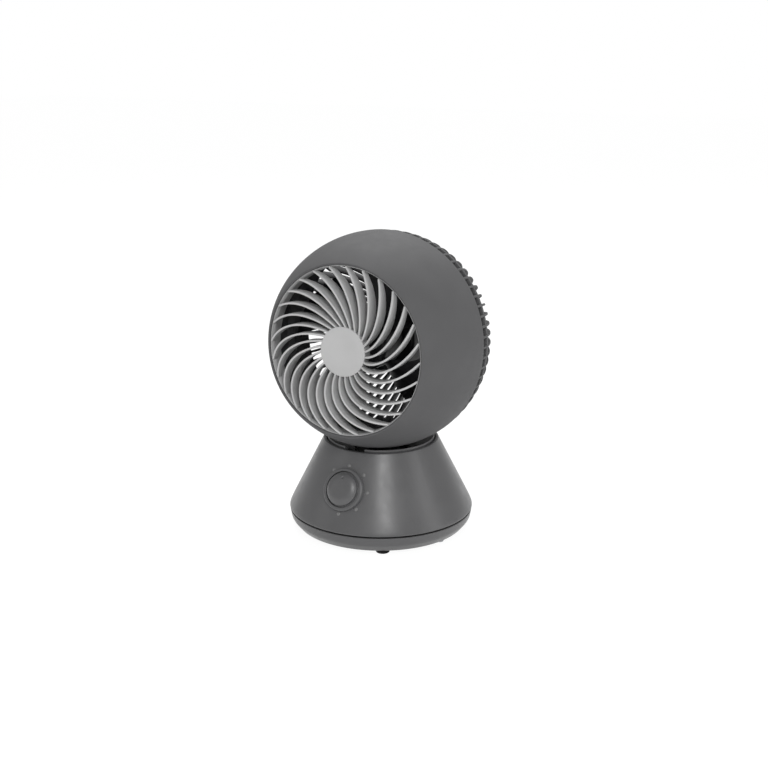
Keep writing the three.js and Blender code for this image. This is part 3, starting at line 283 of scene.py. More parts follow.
def spun(points: Array, count: int, first: float = 0.0) -> Array:
    """Copies of points, turned evenly about Z.

    Args:
        points: An array whose last axis holds x, y and z.
        count: How many copies.
        first: The first copy's turn, in radians.

    Returns:
        The copies, stacked on a new first axis.
    """
    angle = first + 2.0 * math.pi * np.arange(count) / count
    cos, sin = np.cos(angle), np.sin(angle)
    zero, one = np.zeros(count), np.ones(count)
    turn = np.array([[cos, -sin, zero], [sin, cos, zero], [zero, zero, one]])
    flat = points.reshape(-1, 3)
    return np.einsum("ijk,nj->kni", turn, flat).reshape((count,) + points.shape)


def make_object(name: str, surface: Surface, sharp_deg: float) -> bpy.types.Object:
    """Makes a welded, smooth-shaded mesh object at the origin.

    Args:
        name: The object's name.
        surface: Millimetres in the fan's frame.
        sharp_deg: Edges that turn more than this stay sharp.

    Returns:
        The new object, linked to the scene.
    """
    mesh = bpy.data.meshes.new(name)
    mesh.from_pydata((surface.vertices * MM).tolist(), [], surface.faces.tolist())
    mesh.validate()
    work = bmesh.new()
    work.from_mesh(mesh)
    bmesh.ops.remove_doubles(work, verts=work.verts, dist=WELD)
    bmesh.ops.dissolve_degenerate(work, edges=work.edges, dist=COLLAPSED)
    work.to_mesh(mesh)
    work.free()
    mesh.shade_smooth()
    mesh.set_sharp_from_angle(angle=math.radians(sharp_deg))
    return linked(name, mesh)


def linked(name: str, data: bpy.types.ID) -> bpy.types.Object:
    """Makes an object and links it to the scene.

    Args:
        name: The object's name.
        data: The mesh, lamp or camera that it shows.

    Returns:
        The new object.
    """
    made = bpy.data.objects.new(name, data)
    bpy.context.scene.collection.objects.link(made)
    return made


# --- Finishes ---


def linear(level: float) -> float:
    """A screen level from 0 to 255 as a linear value from 0 to 1, by the sRGB curve."""
    share = level / 255.0
    return share / 12.92 if share <= 0.04045 else ((share + 0.055) / 1.055) ** 2.4


def colour(levels: Triple, gain: float = 1.0) -> tuple[float, float, float, float]:
    """Screen levels as a linear colour, made lighter or darker by a gain."""
    return (*(min(1.0, linear(level) * gain) for level in levels), 1.0)


class Nodes:
    """A material's node tree, with short ways to add the nodes that the finishes share."""

    def __init__(self, name: str) -> None:
        """Makes a material with only a Principled shader.

        Args:
            name: The material's name.
        """
        self.material = bpy.data.materials.new(name)
        self.material.use_nodes = True
        self.tree = self.material.node_tree
        self.shader = self.tree.nodes["Principled BSDF"]
        self.place = self.tree.nodes.new("ShaderNodeTexCoord").outputs["Object"]

    def set(self, **values: object) -> None:
        """Sets the shader's own sockets.

        Args:
            values: By the name of a socket, with _ for each space, a number, a colour, or
                another node's socket to join it to.
        """
        for name, value in values.items():
            socket = self.shader.inputs[name.replace("_", " ")]
            if isinstance(value, Socket):
                self.link(value, socket)
            else:
                socket.default_value = value

    def link(self, output: Socket, target: Socket) -> None:
        """Joins two sockets."""
        self.tree.links.new(output, target)

    def noise(self, per_mm: float, octaves: float = 2.0, stretch: Triple = (1, 1, 1)) -> Socket:
        """Noise on the object's own coordinates.

        Args:
            per_mm: Cells in a millimetre.
            octaves: Its detail.
            stretch: A further scale along X, Y and Z.

        Returns:
            The noise's value.
        """
        mapping = self.tree.nodes.new("ShaderNodeMapping")
        mapping.inputs["Scale"].default_value = stretch
        self.link(self.place, mapping.inputs["Vector"])
        noise = self.tree.nodes.new("ShaderNodeTexNoise")
        noise.inputs["Scale"].default_value = per_mm / MM
        noise.inputs["Detail"].default_value = octaves
        self.link(mapping.outputs["Vector"], noise.inputs["Vector"])
        return noise.outputs["Fac"]

    def ramp(
        self, value: Socket, low: float, high: float, start: float = 0.3, end: float = 0.7
    ) -> Socket:
        """Carries a value onto another span.

        Args:
            value: The value.
            low: What start becomes.
            high: What end becomes.
            start: Where its own span starts.
            end: Where that ends.

        Returns:
            The new value.
        """
        node = self.tree.nodes.new("ShaderNodeMapRange")
        spans = {"From Min": start, "From Max": end, "To Min": low, "To Max": high}
        for name, number in spans.items():
            node.inputs[name].default_value = number
        self.link(value, node.inputs["Value"])
        return node.outputs["Result"]

    def tint(self, share: Socket, levels: Triple, low: float, high: float) -> Socket:
        """A colour that varies by a share.

        Args:
            share: Where it stands between the two gains.
            levels: The colour's screen levels.
            low: Its gain where the share is 0.
            high: Its gain where the share is 1.

        Returns:
            The colour.
        """
        node = self.tree.nodes.new("ShaderNodeMix")
        node.data_type = "RGBA"
        node.inputs["A"].default_value = colour(levels, low)
        node.inputs["B"].default_value = colour(levels, high)
        self.link(share, node.inputs["Factor"])
        return node.outputs["Result"]

    def bump(
        self, height: Socket, depth_mm: float, strength: float, under: Optional[Socket] = None
    ) -> Socket:
        """A bump.

        Args:
            height: Its height, from 0 to 1.
            depth_mm: The height of 1, in millimetres.
            strength: How much of it shows.
            under: Another bump that it is laid over.

        Returns:
            The normal.
        """
        node = self.tree.nodes.new("ShaderNodeBump")
        node.inputs["Strength"].default_value = strength
        node.inputs["Distance"].default_value = depth_mm * MM
        self.link(height, node.inputs["Height"])
        if under is not None:
            self.link(under, node.inputs["Normal"])
        return node.outputs["Normal"]


@dataclass(frozen=True)
class Finish:
    """A surface's look, from which its material is made."""

    name: str
    levels: Triple

    def make(self) -> bpy.types.Material:
        """Builds the material.

        Returns:
            The material, under the finish's name.
        """
        nodes = Nodes(self.name)
        self.paint(nodes)
        return nodes.material

    def paint(self, nodes: Nodes) -> None:
        """Sets the colour, the gloss and the relief."""
        raise NotImplementedError


@dataclass(frozen=True)
class MouldedPlastic(Finish):
    """Plastic from a textured mould: a fine even grain, a faint mottle and uneven gloss."""

    roughness: float = 0.5
    specular: float = 0.4
    grain_mm: float = 0.45
    grain_depth: float = 0.03
    grain_strength: float = 0.22
    mottle: float = 0.05

    def paint(self, nodes: Nodes) -> None:
        """A mottle for the colour, patches for the gloss, and the grain on a slight flow.

        Args:
            nodes: The material's nodes.
        """
        cloud = nodes.ramp(nodes.noise(0.03, octaves=3.0), 0.0, 1.0)
        tint = nodes.tint(cloud, self.levels, 1.0 - self.mottle, 1.0 + self.mottle)
        patches = nodes.noise(0.12, octaves=4.0)
        gloss = nodes.ramp(patches, self.roughness - 0.04, self.roughness + 0.05)
        grain = nodes.noise(1.0 / self.grain_mm)
        flow = nodes.bump(nodes.noise(0.05, octaves=1.0), depth_mm=0.15, strength=0.12)
        relief = nodes.bump(grain, self.grain_depth, self.grain_strength, flow)
        nodes.set(
            Base_Color=tint, Roughness=gloss, Normal=relief, Specular_IOR_Level=self.specular
        )


@dataclass(frozen=True)
class Rubber(Finish):
    """Soft black rubber: dull, with a fine speckle and a little dust in its grain."""

    roughness: float = 0.85

    def paint(self, nodes: Nodes) -> None:
        """Dust for the colour, patches for the gloss, and a speckle.

        Args:
            nodes: The material's nodes.
        """
        dust = nodes.ramp(nodes.noise(1.2, octaves=5.0), 0.0, 0.6, start=0.5, end=0.8)
        tint = nodes.tint(dust, self.levels, 1.0, 2.4)
        gloss = nodes.ramp(nodes.noise(0.6), self.roughness - 0.08, self.roughness + 0.06)
        speckle = nodes.noise(4.0, octaves=3.0)
        relief = nodes.bump(speckle, depth_mm=0.04, strength=0.35)
        nodes.set(Base_Color=tint, Roughness=gloss, Normal=relief, Specular_IOR_Level=0.25)


@dataclass(frozen=True)
class Metal(Finish):
    """Metal with a drawn or turned grain along one axis and a few duller patches."""

    roughness: float = 0.35
    grain: Triple = (1.0, 1.0, 30.0)
    grain_per_mm: float = 0.25
    patch: float = 0.12

    def paint(self, nodes: Nodes) -> None:
        """Streaks for the colour, the gloss and the relief.

        Args:
            nodes: The material's nodes.
        """
        streaks = nodes.noise(self.grain_per_mm, octaves=4.0, stretch=self.grain)
        share = nodes.ramp(streaks, 0.0, 1.0)
        tint = nodes.tint(share, self.levels, 1.0 - self.patch, 1.0 + self.patch)
        gloss = nodes.ramp(streaks, self.roughness - 0.06, self.roughness + 0.1)
        relief = nodes.bump(streaks, depth_mm=0.02, strength=0.15)
        nodes.set(Base_Color=tint, Roughness=gloss, Normal=relief, Metallic=1.0)


@dataclass(frozen=True)
class Layered(Finish):
    """Layers or windings side by side: fine ridges across the object's Y."""

    pitch_mm: float
    roughness: float = 0.4
    ridge_share: float = 0.3  # of the pitch, that a ridge stands up

    def paint(self, nodes: Nodes) -> None:
        """A wave for the colour and the relief, and patches for the gloss.

        Args:
            nodes: The material's nodes.
        """
        wave = nodes.tree.nodes.new("ShaderNodeTexWave")
        wave.bands_direction = "Y"
        # A wave of scale s repeats after pi / (10 s).
        wave.inputs["Scale"].default_value = 0.314 / (self.pitch_mm * MM)
        wave.inputs["Distortion"].default_value = 0.4
        nodes.link(nodes.place, wave.inputs["Vector"])
        ridge = wave.outputs["Fac"]
        tint = nodes.tint(ridge, self.levels, 0.55, 1.1)
        gloss = nodes.ramp(nodes.noise(0.3), self.roughness - 0.05, self.roughness + 0.1)
        relief = nodes.bump(ridge, self.pitch_mm * self.ridge_share, strength=0.6)
        nodes.set(Base_Color=tint, Roughness=gloss, Normal=relief, Metallic=1.0)


@dataclass(frozen=True)
class CircuitBoard(Finish):
    """Green laminate with a faint weave and paler tracks."""

    def paint(self, nodes: Nodes) -> None:
        """Bricks for the weave and the tracks, and patches for the gloss.

        Args:
            nodes: The material's nodes.
        """
        bricks = nodes.tree.nodes.new("ShaderNodeTexBrick")
        bricks.inputs["Scale"].default_value = 0.12 / MM
        bricks.inputs["Mortar Size"].default_value = 0.03
        for name, gain in (("Color1", 1.0), ("Color2", 0.8), ("Mortar", 2.2)):
            bricks.inputs[name].default_value = colour(self.levels, gain)
        nodes.link(nodes.place, bricks.inputs["Vector"])
        gloss = nodes.ramp(nodes.noise(0.8), 0.3, 0.45)
        nodes.set(Base_Color=bricks.outputs["Color"], Roughness=gloss)


CASE = MouldedPlastic("case_grey", (92.0, 92.0, 93.0), 0.34, 0.6)
GLOBE = MouldedPlastic("globe_grey", (92.0, 92.0, 93.0), 0.68, 0.3)
DOT = MouldedPlastic("dot_grey", (122.0, 122.0, 122.0), 0.4, grain_depth=0.01)
GRILLE = MouldedPlastic("grille_grey", (196.0, 196.0, 196.0), 0.45, grain_depth=0.015)
BLADE = MouldedPlastic("blade_black", (24.0, 24.0, 26.0), 0.5, grain_strength=0.12)
FRAME_PLASTIC = MouldedPlastic("frame_black", (36.0, 36.0, 37.0), 0.6)
PAINTED = MouldedPlastic("painted_steel", (30.0, 30.0, 32.0), 0.42, grain_depth=0.01)
NATURAL = MouldedPlastic("natural_plastic", (214.0, 211.0, 202.0), 0.4, grain_depth=0.01)
FOOT_RUBBER = Rubber("rubber_black", (26.0, 26.0, 26.0))
STEEL = Metal("steel", (160.0, 162.0, 165.0))
BRONZE = Metal("bronze", (164.0, 128.0, 74.0), 0.5, grain=(1.0, 1.0, 1.0), grain_per_mm=1.5)
LAMINATED = Layered("laminated_steel", (120.0, 121.0, 124.0), pitch_mm=0.6)
COPPER = Layered("copper_wire", (178.0, 98.0, 46.0), pitch_mm=0.7, roughness=0.3)
BOARD = CircuitBoard("board_green", (31.0, 90.0, 54.0))


class Wardrobe:
    """Every finish, made once, and the ways to put one on a piece."""

    def __init__(self) -> None:
        """Makes the materials."""
        finishes = (
            CASE, GLOBE, DOT, GRILLE, BLADE, FRAME_PLASTIC, PAINTED, NATURAL,
            FOOT_RUBBER, STEEL, BRONZE, LAMINATED, COPPER, BOARD,
        )
        self.materials = {finish.name: finish.make() for finish in finishes}

    def dress(self, piece: bpy.types.Object, finish: Finish) -> None:
        """Gives a piece a finish and no other."""
        piece.data.materials.clear()
        piece.data.materials.append(self.materials[finish.name])

    def dress_nodes(self, finish: Finish, *nodes: str) -> None:
        """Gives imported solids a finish.

        Args:
            finish: What they are dressed in.
            nodes: Their names.
        """
        for node in nodes:
            self.dress(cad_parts[node], finish)
            LOG.info("dressed %s in %s", node, finish.name)


# --- Sub-assemblies ---


@dataclass
class Assembly:
    """Pieces that ride on one body and share a placement."""

    wardrobe: Wardrobe
    body: Body = Body.BASE
    placement: Placement = Placement()

    def add(
        self, name: str, surface: Surface, finish: Finish, slot: str,
        replaces: Sequence[str] = (), sharp_deg: float = SHARP_DEG,
    ) -> None:
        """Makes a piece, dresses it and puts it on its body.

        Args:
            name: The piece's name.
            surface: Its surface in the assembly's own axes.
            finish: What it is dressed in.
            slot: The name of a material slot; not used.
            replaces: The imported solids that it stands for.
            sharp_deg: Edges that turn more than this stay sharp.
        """
        piece = make_object(name, surface.placed(self.placement), sharp_deg)
        self.wardrobe.dress(piece, finish)
        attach(piece, self.body.value)
        if replaces:
            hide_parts(*replaces)
        LOG.info("%s: %d faces on %s", name, len(piece.data.polygons), self.body.value)


@dataclass(frozen=True)
class Globe:
    """The head's outline about its own axis, where +Z is the way the air leaves."""

    radius: float = 105.0
    semi_axis: float = 116.0  # of the front, along the axis
    rear_depth: float = 92.5
    squareness: float = 2.3  # exponent of the back's outline
    lip_z: float = 72.9
    lip_depth: float = 4.4
    seam_z: float = -9.0
    opening: float = 79.8
    wall: float = 2.4
    band_wall: float = 2.2  # of the rear grille's band, which slips into the front shell

    def front(self, z: Array) -> Array:
        """Radius of the front: R times the root of 1 - (z / semi-axis) squared."""
        return self.radius * np.sqrt(1.0 - (np.asarray(z) / self.semi_axis) ** 2)

    def front_inside(self, z: Array) -> Array:
        """Radius of the front's inner face."""
        return self.front(z) - self.wall

    def back(self, degrees: Array) -> Array:
        """Points [radius, height] of the back.

        They are R sin^(2/n) a and -D cos^(2/n) a, with n the squareness.

        Args:
            degrees: The angles a, from 0 at the middle of the back to 90 at its widest.

        Returns:
            The points, on a new last axis.
        """
        angle = np.radians(degrees)
        power = 2.0 / self.squareness
        across = self.radius * np.sin(angle) ** power
        return np.stack([across, -self.rear_depth * np.cos(angle) ** power], axis=-1)

    def angle_at_height(self, z: float) -> float:
        """The angle, in degrees, at which the back reaches a height."""
        return math.degrees(math.acos((-z / self.rear_depth) ** (self.squareness / 2.0)))

    def angle_at_radius(self, radius: float) -> float:
        """The angle, in degrees, at which the back reaches a radius."""
        return math.degrees(math.asin((radius / self.radius) ** (self.squareness / 2.0)))

    def back_inside(self, degrees: Array, below: Array) -> Array:
        """Points below the back's outline.

        Args:
            degrees: The angles of the outline's points.
            below: How far each is carried along the inward normal.

        Returns:
            Points of [radius, height], on a new last axis.
        """
        step = 0.25  # degrees, to the point that gives the outline's direction
        points = self.back(degrees)
        along = self.back(np.asarray(degrees) - step) - points
        normal = np.stack([-along[..., 1], along[..., 0]], axis=-1)
        normal /= np.linalg.norm(normal, axis=-1, keepdims=True)
        return points - normal * np.asarray(below)[..., None]


HEAD = Globe()


@dataclass
class HeadShell(Assembly):
    """The dark front shell of the globe."""

    shroud_front_z: float = 7.0
    shroud_wall: float = 2.0
    shroud_end_z: float = -23.0
    blend_length: float = 0.5  # of the outline, that the rounding of the lip takes
    seam_length: float = 0.6  # of the outline, that the rounding of the seam's edge takes

    def shroud(self) -> Array:
        """The part of the inside that turns in to a shroud and comes back to the wall.

        Returns:
            Points of [radius, height].
        """
        outer = HEAD.front_inside(HEAD.seam_z) - HEAD.band_wall - 4.0 * GAP
        inner = outer - self.shroud_wall
        shelf = self.shroud_front_z - 2.0 * self.shroud_wall
        rows = [
            (HEAD.front_inside(self.shroud_front_z), self.shroud_front_z, 0),
            (inner, shelf + 0.5, 2.5), (inner, self.shroud_end_z, 0.6),
            (outer, self.shroud_end_z, 0.6), (outer, shelf, 0.5),
            (HEAD.front_inside(shelf), shelf, 0),
        ]
        return outline(rows)

    def build(self) -> None:
        """Makes the shell: out along the globe, round the lip, and back along the inside."""
        heights = np.linspace(HEAD.seam_z + self.seam_length, HEAD.lip_z - self.blend_length, 60)
        outside = np.stack([HEAD.front(heights), heights], axis=-1)
        lip_low = HEAD.lip_z - HEAD.lip_depth
        inner = np.linspace(lip_low, self.shroud_front_z, 40)
        inside = np.stack([HEAD.front_inside(inner), inner], axis=-1)
        lip = outline(
            [
                (*outside[-1], 0), (HEAD.front(HEAD.lip_z), HEAD.lip_z, 1.0),
                (HEAD.opening, HEAD.lip_z, 1.1), (HEAD.opening, lip_low, 0.4), (*inside[0], 0),
            ]
        )
        seam = outline(
            [
                (HEAD.front_inside(HEAD.seam_z), HEAD.seam_z, 0),
                (HEAD.front(HEAD.seam_z), HEAD.seam_z, 0.6), (*outside[0], 0),
            ]
        )
        profile = np.concatenate([outside[:-1], lip, inside[1:-1], self.shroud(), seam])
        shell = revolve(profile, facets=256)
        self.add("front_shell_skin", shell, GLOBE, "case_grey", ["front_shell"])


@dataclass
class FrontGrille(Assembly):
    """The light grey grille: a duct ring, swirled ribs, and the hub with its bare disc."""

    ribs: int = 28
    thickness: float = 2.1
    back_thickness: float = 1.5
    crown_z: float = 82.5
    crown_radius: float = 50.3
    crown_drop: float = 10.0
    edge_depth: float = 6.0
    middle_depth: float = 14.0
    start_deg: float = -6.0
    sweep: float = 0.65  # degrees per mm
    sweep_growth: float = 0.0026  # degrees per square mm
    duct_wall: float = 1.6
    duct_depth: float = 14.5
    setback: float = 1.2
    duct_edge: float = 0.4
    duct_bevel: float = 3.8
    flange: float = 1.7
    hub_radius: float = 23.5
    hub_z: float = 73.8
    hub_thickness: float = 2.6
    hub_edge: float = 2.4  # width of the disc's sloping edge
    hub_edge_drop: float = 0.15
    hub_clearance: float = 0.05
    socket_depth: float = 9.0
    socket_inset: float = 0.4

    def rib_front(self, radius: Array) -> Array:
        """Height of a rib's front edge: the crown less the drop times the square of the way out."""
        reach = HEAD.opening - self.duct_wall - self.crown_radius
        return self.crown_z - self.crown_drop * ((radius - self.crown_radius) / reach) ** 2

    def rib_angle(self, radius: Array) -> Array:
        """Angle of a rib's middle line, in radians, as a quadratic of the distance from the hub."""
        out = radius - self.hub_radius
        return np.radians(self.start_deg + self.sweep * out + self.sweep_growth * out**2)

    def rib_points(self) -> Array:
        """One rib's loops: a rounded section carried along the middle line, square to it.

        Returns:
            Stations by loop points by 3.
        """
        inner = self.hub_radius - 2.0
        outer = HEAD.opening - GAP - self.duct_wall / 2.0
        radius = np.linspace(inner, outer, 44)
        share = (radius - inner) / (outer - inner)
        deeper = (self.middle_depth - self.edge_depth) * np.sin(math.pi * share)
        depth = self.edge_depth + deeper
        angle = self.rib_angle(radius)
        growth = 2.0 * self.sweep_growth * (radius - self.hub_radius)
        heading = angle + np.arctan(radius * np.radians(self.sweep + growth))
        # The section is made one millimetre deep, and then its back is moved to the depth.
        made = 1.0
        section = bar_section(self.thickness / 2.0, made, self.back_thickness / 2.0, 0.45)
        across, down = section.T[:, None, :]
        drop = np.where(down < -made / 2.0, down + made - depth[:, None], down)
        x = (radius * np.cos(angle))[:, None] - np.sin(heading)[:, None] * across
        y = (radius * np.sin(angle))[:, None] + np.cos(heading)[:, None] * across
        return np.stack([x, y, self.rib_front(radius)[:, None] + drop], axis=-1)

    def duct(self) -> Surface:
        """The ring that the ribs end in, with the flange that the shell's lip holds.

        Returns:
            The ring.
        """
        outer = HEAD.opening - GAP
        inner = outer - self.duct_wall
        front = HEAD.lip_z - self.setback
        back = front - self.duct_depth
        top = HEAD.lip_z - HEAD.lip_depth - GAP
        rim = HEAD.front_inside(top) - 2.0 * GAP
        rows = [
            (outer, back, 0.4), (outer, top - self.flange, 0), (rim, top - self.flange, 0.3),
            (rim, top, 0.3), (outer, top, 0), (outer, front, 0.1),
            (outer - self.duct_edge, front, 0.15), (inner, front - self.duct_bevel, 2.0),
            (inner, back, 0.4),
        ]
        return turned(rows, facets=224, closed=True)

    def socket(self) -> Surface:
        """The cup behind the hub disc.

        Returns:
            The cup.
        """
        floor = self.hub_z - self.hub_thickness - GAP
        radius = self.hub_radius - self.socket_inset
        low = floor - self.socket_depth
        rows = [
            (0.0, floor - 3.0, 0), (self.hub_radius - 6.0, low + 1.5, 2.0), (radius, low, 1.2),
            (radius, floor, 0.3), (0.0, floor, 0),
        ]
        return turned(rows, facets=96)

    def disc(self) -> Surface:
        """The bare hub disc, its face flat and its edge sloped and rounded.

        Returns:
            The disc.
        """
        back = self.hub_z - self.hub_thickness
        radius = self.hub_radius - self.hub_clearance
        face = radius - self.hub_edge
        edge = outline(
            [
                (0.0, back, 0), (radius, back, 0.3), (radius, self.hub_z - self.hub_edge_drop, 0.8),
                (face, self.hub_z, 0),
            ]
        )
        across = face * np.linspace(1.0, 0.0, 16)[1:]
        flat = np.stack([across, np.full_like(across, self.hub_z)], axis=-1)
        return revolve(np.concatenate([edge, flat]), facets=128)

    def build(self) -> None:
        """Makes the ring, the ribs, the socket and the disc."""
        ribs = bars(spun(self.rib_points(), self.ribs), flip=True)
        self.add("grille_ribs", ribs, GRILLE, "grille_grey", ["front_grille"])
        self.add("grille_duct", self.duct(), GRILLE, "grille_grey")
        self.add("hub_socket", self.socket(), GRILLE, "grille_grey")
        self.add("hub_face", self.disc(), GRILLE, "grille_grey", ["hub_disc"])


@dataclass
class RearGrille(Assembly):
    """The slatted back: a band, rings, long and short ribs, and the hub with its cap."""

    ribs: int = 66
    thickness: float = 2.3
    taper: float = 0.35
    depth: float = 10.0
    first_deg: float = 0.7
    ring_z: float = -22.0
    ring_width: float = 4.5
    ring_depth: float = 3.4
    middle_radius: float = 56.0
    middle_width: float = 4.0
    hub_radius: float = 37.0
    hub_thickness: float = 3.0
    hub_overlap_deg: float = 0.3
    band_low: float = -10.0
    band_high: float = 1.0
    cap_radius: float = 31.0
    cap_thickness: float = 2.0
    cap_dish: float = 0.7
    cap_rim: float = 5.0  # width of the cap's rim, with its slope
    cap_rim_flat: float = 3.4
    facets: int = 198  # of the rings: three to each rib

    def band_inner(self) -> float:
        """Inner radius of the band, which leaves room for the front shell's shroud."""
        return HEAD.front_inside(HEAD.seam_z) - 2.0 * GAP - HEAD.band_wall

    def rib_points(self, first_deg: float, last_deg: float, stations: int) -> Array:
        """One rib's loops, a tapered section set square to the back's outline.

        Args:
            first_deg: Where it starts on the outline.
            last_deg: Where it ends.
            stations: Loops along it.

        Returns:
            Stations by loop points by 3.
        """
        half = self.thickness / 2.0
        section = bar_section(half, self.depth, half - self.taper, 0.5, steps=2)
        shape = (stations, len(section))
        degrees = np.broadcast_to(np.linspace(first_deg, last_deg, stations)[:, None], shape)
        below = np.broadcast_to(GAP - section[None, :, 1], shape)
        radius, height = np.moveaxis(HEAD.back_inside(degrees, below), -1, 0)
        over_shroud = height > self.ring_z - self.ring_width / 2.0
        radius = np.where(over_shroud, np.maximum(radius, self.band_inner()), radius)
        return np.stack([radius, np.broadcast_to(section[None, :, 0], shape), height], axis=-1)

    def ring(self, middle_deg: float, width: float, depth: float) -> Surface:
        """A ring that lies along the back's outline, its section a rounded bar.

        Args:
            middle_deg: Where the middle of its width is on the outline.
            width: Its width along the outline.
            depth: Its depth, square to the outline.

        Returns:
            The ring.
        """
        half = math.degrees(width / 2.0 / HEAD.radius)
        top = 2.0 * GAP
        angles = middle_deg + half * np.array([-1.0, 1.0, 1.0, -1.0])
        corners = HEAD.back_inside(angles, np.array([top, top, top + depth, top + depth]))
        return turned([(*corner, 0.5) for corner in corners], self.facets, closed=True, steps=4)

    def band(self) -> Surface:
        """The band that slips into the front shell.

        Returns:
            The band.
        """
        inner = self.band_inner()
        outer = inner + HEAD.band_wall
        rows = [
            (inner, self.band_low, 0.4), (outer, self.band_low, 0.4), (outer, self.band_high, 0.8),
            (inner, self.band_high, 0.4),
        ]
        return turned(rows, self.facets, closed=True)

    def hub(self) -> Surface:
        """The plate in the middle of the back, with a seat for the cap.

        Returns:
            The plate.
        """
        back = -HEAD.rear_depth + GAP
        floor = back + self.cap_thickness
        inside = floor + self.hub_thickness
        seat = self.cap_radius + GAP
        rows = [
            (0.0, floor, 0), (seat, floor, 0.2), (seat, back, 0.4), (self.hub_radius, back, 1.0),
            (self.hub_radius, inside, 0.6), (0.0, inside, 0),
        ]
        return turned(rows, facets=160)

    def cap(self) -> Surface:
        """The round cap over the motor's fixings, with a shallow dish and a raised rim.

        Returns:
            The cap.
        """
        back = -HEAD.rear_depth + GAP
        front = back + self.cap_thickness - GAP
        radius, dish = self.cap_radius, back + self.cap_dish
        rows = [
            (0.0, dish, 0), (radius - self.cap_rim, dish, 1.5),
            (radius - self.cap_rim_flat, back, 1.0), (radius, back, 0.5), (radius, front, 0.2),
            (0.0, front, 0),
        ]
        return turned(rows, facets=160)

    def build(self) -> None:
        """Makes the ribs and what holds them."""
        seam = HEAD.angle_at_height(HEAD.seam_z - 2.0 * GAP)
        middle = HEAD.angle_at_radius(self.middle_radius)
        hub = HEAD.angle_at_radius(self.hub_radius) - self.hub_overlap_deg
        first = math.radians(self.first_deg)
        long_ribs = bars(spun(self.rib_points(seam, middle, 40), self.ribs, first))
        short_ribs = bars(spun(self.rib_points(middle, hub, 20), self.ribs // 2, first))
        rings = [
            self.band(),
            self.ring(HEAD.angle_at_height(self.ring_z), self.ring_width, self.ring_depth),
            self.ring(middle, self.middle_width, self.depth),
            self.hub(),
        ]
        self.add("rear_ribs", long_ribs, GLOBE, "case_grey", ["rear_grille"])
        self.add("rear_short_ribs", short_ribs, GLOBE, "case_grey")
        self.add("rear_rings", Surface.joined(rings), GLOBE, "case_grey")
        self.add("rear_cap_face", self.cap(), GLOBE, "case_grey", ["rear_cap"])


@dataclass
class Motor(Assembly):
    """The motor in the back of the globe: two pressed cans on a pedestal."""

    radius: float = 34.0
    front_z: float = -2.0
    rear_z: float = -60.0
    split_z: float = -31.0
    split_gap: float = 0.3
    wall: float = 2.0
    boss_radius: float = 19.0  # of the flat round the bush
    boss_slope: float = 2.0
    boss_height: float = 1.2
    bush_radius: float = 8.0
    bush_length: float = 6.0
    pedestal_radius: float = 30.0
    pedestal_wall: float = 3.0
    pedestal_low: float = -86.9
    webs: int = 12
    web_foot: float = 1.9  # how far a web stands out at its foot
    web_taper: float = 1.2
    web_inset: float = 0.5  # of its ends
    web_half: float = 1.0  # half its thickness at its edge, and then inside the stand
    web_root_half: float = 0.8
    web_depth: float = 2.4

    def can(self, closed_z: float, open_z: float) -> Surface:
        """Half of the can: a cup with a rounded shoulder, a rolled edge and a seat for its bush.

        Args:
            closed_z: Height of its closed end.
            open_z: Height of its open end.

        Returns:
            The cup, which faces out whichever way it opens.
        """
        inwards = math.copysign(1.0, open_z - closed_z)
        step = closed_z + inwards * self.boss_height
        floor = closed_z + inwards * self.wall + inwards * self.boss_height
        seat_end = closed_z + inwards * (self.bush_length + self.wall)
        seat = self.bush_radius + GAP
        inner = self.radius - self.wall
        rows = [
            (seat, closed_z, 0.4), (self.boss_radius, closed_z, 0.8),
            (self.boss_radius + self.boss_slope, step, 0.8), (self.radius, step, 3.0),
            (self.radius, open_z, 0.2), (inner, open_z, 0.2), (inner, floor, 1.5),
            (seat + self.wall, floor, 0.5), (seat + self.wall, seat_end, 0.3),
            (seat, seat_end, 0.3),
        ]
        return turned(rows if inwards > 0 else rows[::-1], facets=128, closed=True)

    def pedestal(self) -> Surface:
        """The round stand behind the motor, stiffened by small upright webs.

        Returns:
            The stand and its webs.
        """
        low, high = self.pedestal_low, self.rear_z - GAP
        outer = self.pedestal_radius
        inner = outer - self.pedestal_wall
        corners = ((inner, low), (outer, low), (outer, high), (inner, high))
        ring = turned([(*corner, 0.3) for corner in corners], facets=128, closed=True)
        section = bar_section(self.web_half, self.web_depth, self.web_root_half, 0.4)
        height = np.linspace(low + self.web_inset, high - self.web_inset, 12)
        up = (height - height[0]) / (height[-1] - height[0])
        reach = outer + self.web_foot - self.web_taper * up
        parts = np.broadcast_arrays(reach[:, None] + section[:, 1], section[:, 0], height[:, None])
        web = np.stack(parts, axis=-1)
        return Surface.joined([ring, bars(spun(web, self.webs), flip=True)])

    def build(self) -> None:
        """Makes the cans and the pedestal, and dresses the parts inside."""
        half = self.split_gap / 2.0
        for name, closed_z, open_z, node in (
            ("motor_front_cup", self.front_z, self.split_z + half, "motor_front_can"),
            ("motor_rear_cup", self.rear_z, self.split_z - half, "motor_rear_can"),
        ):
            self.add(name, self.can(closed_z, open_z), PAINTED, "steel", [node])
        self.add("motor_stand", self.pedestal(), FRAME_PLASTIC, "frame_black", ["motor_pedestal"])
        self.wardrobe.dress_nodes(LAMINATED, "stator_core")
        self.wardrobe.dress_nodes(COPPER, "front_coil", "rear_coil")
        self.wardrobe.dress_nodes(BRONZE, "front_bush", "rear_bush")
        self.wardrobe.dress_nodes(FRAME_PLASTIC, "tilt_runner")


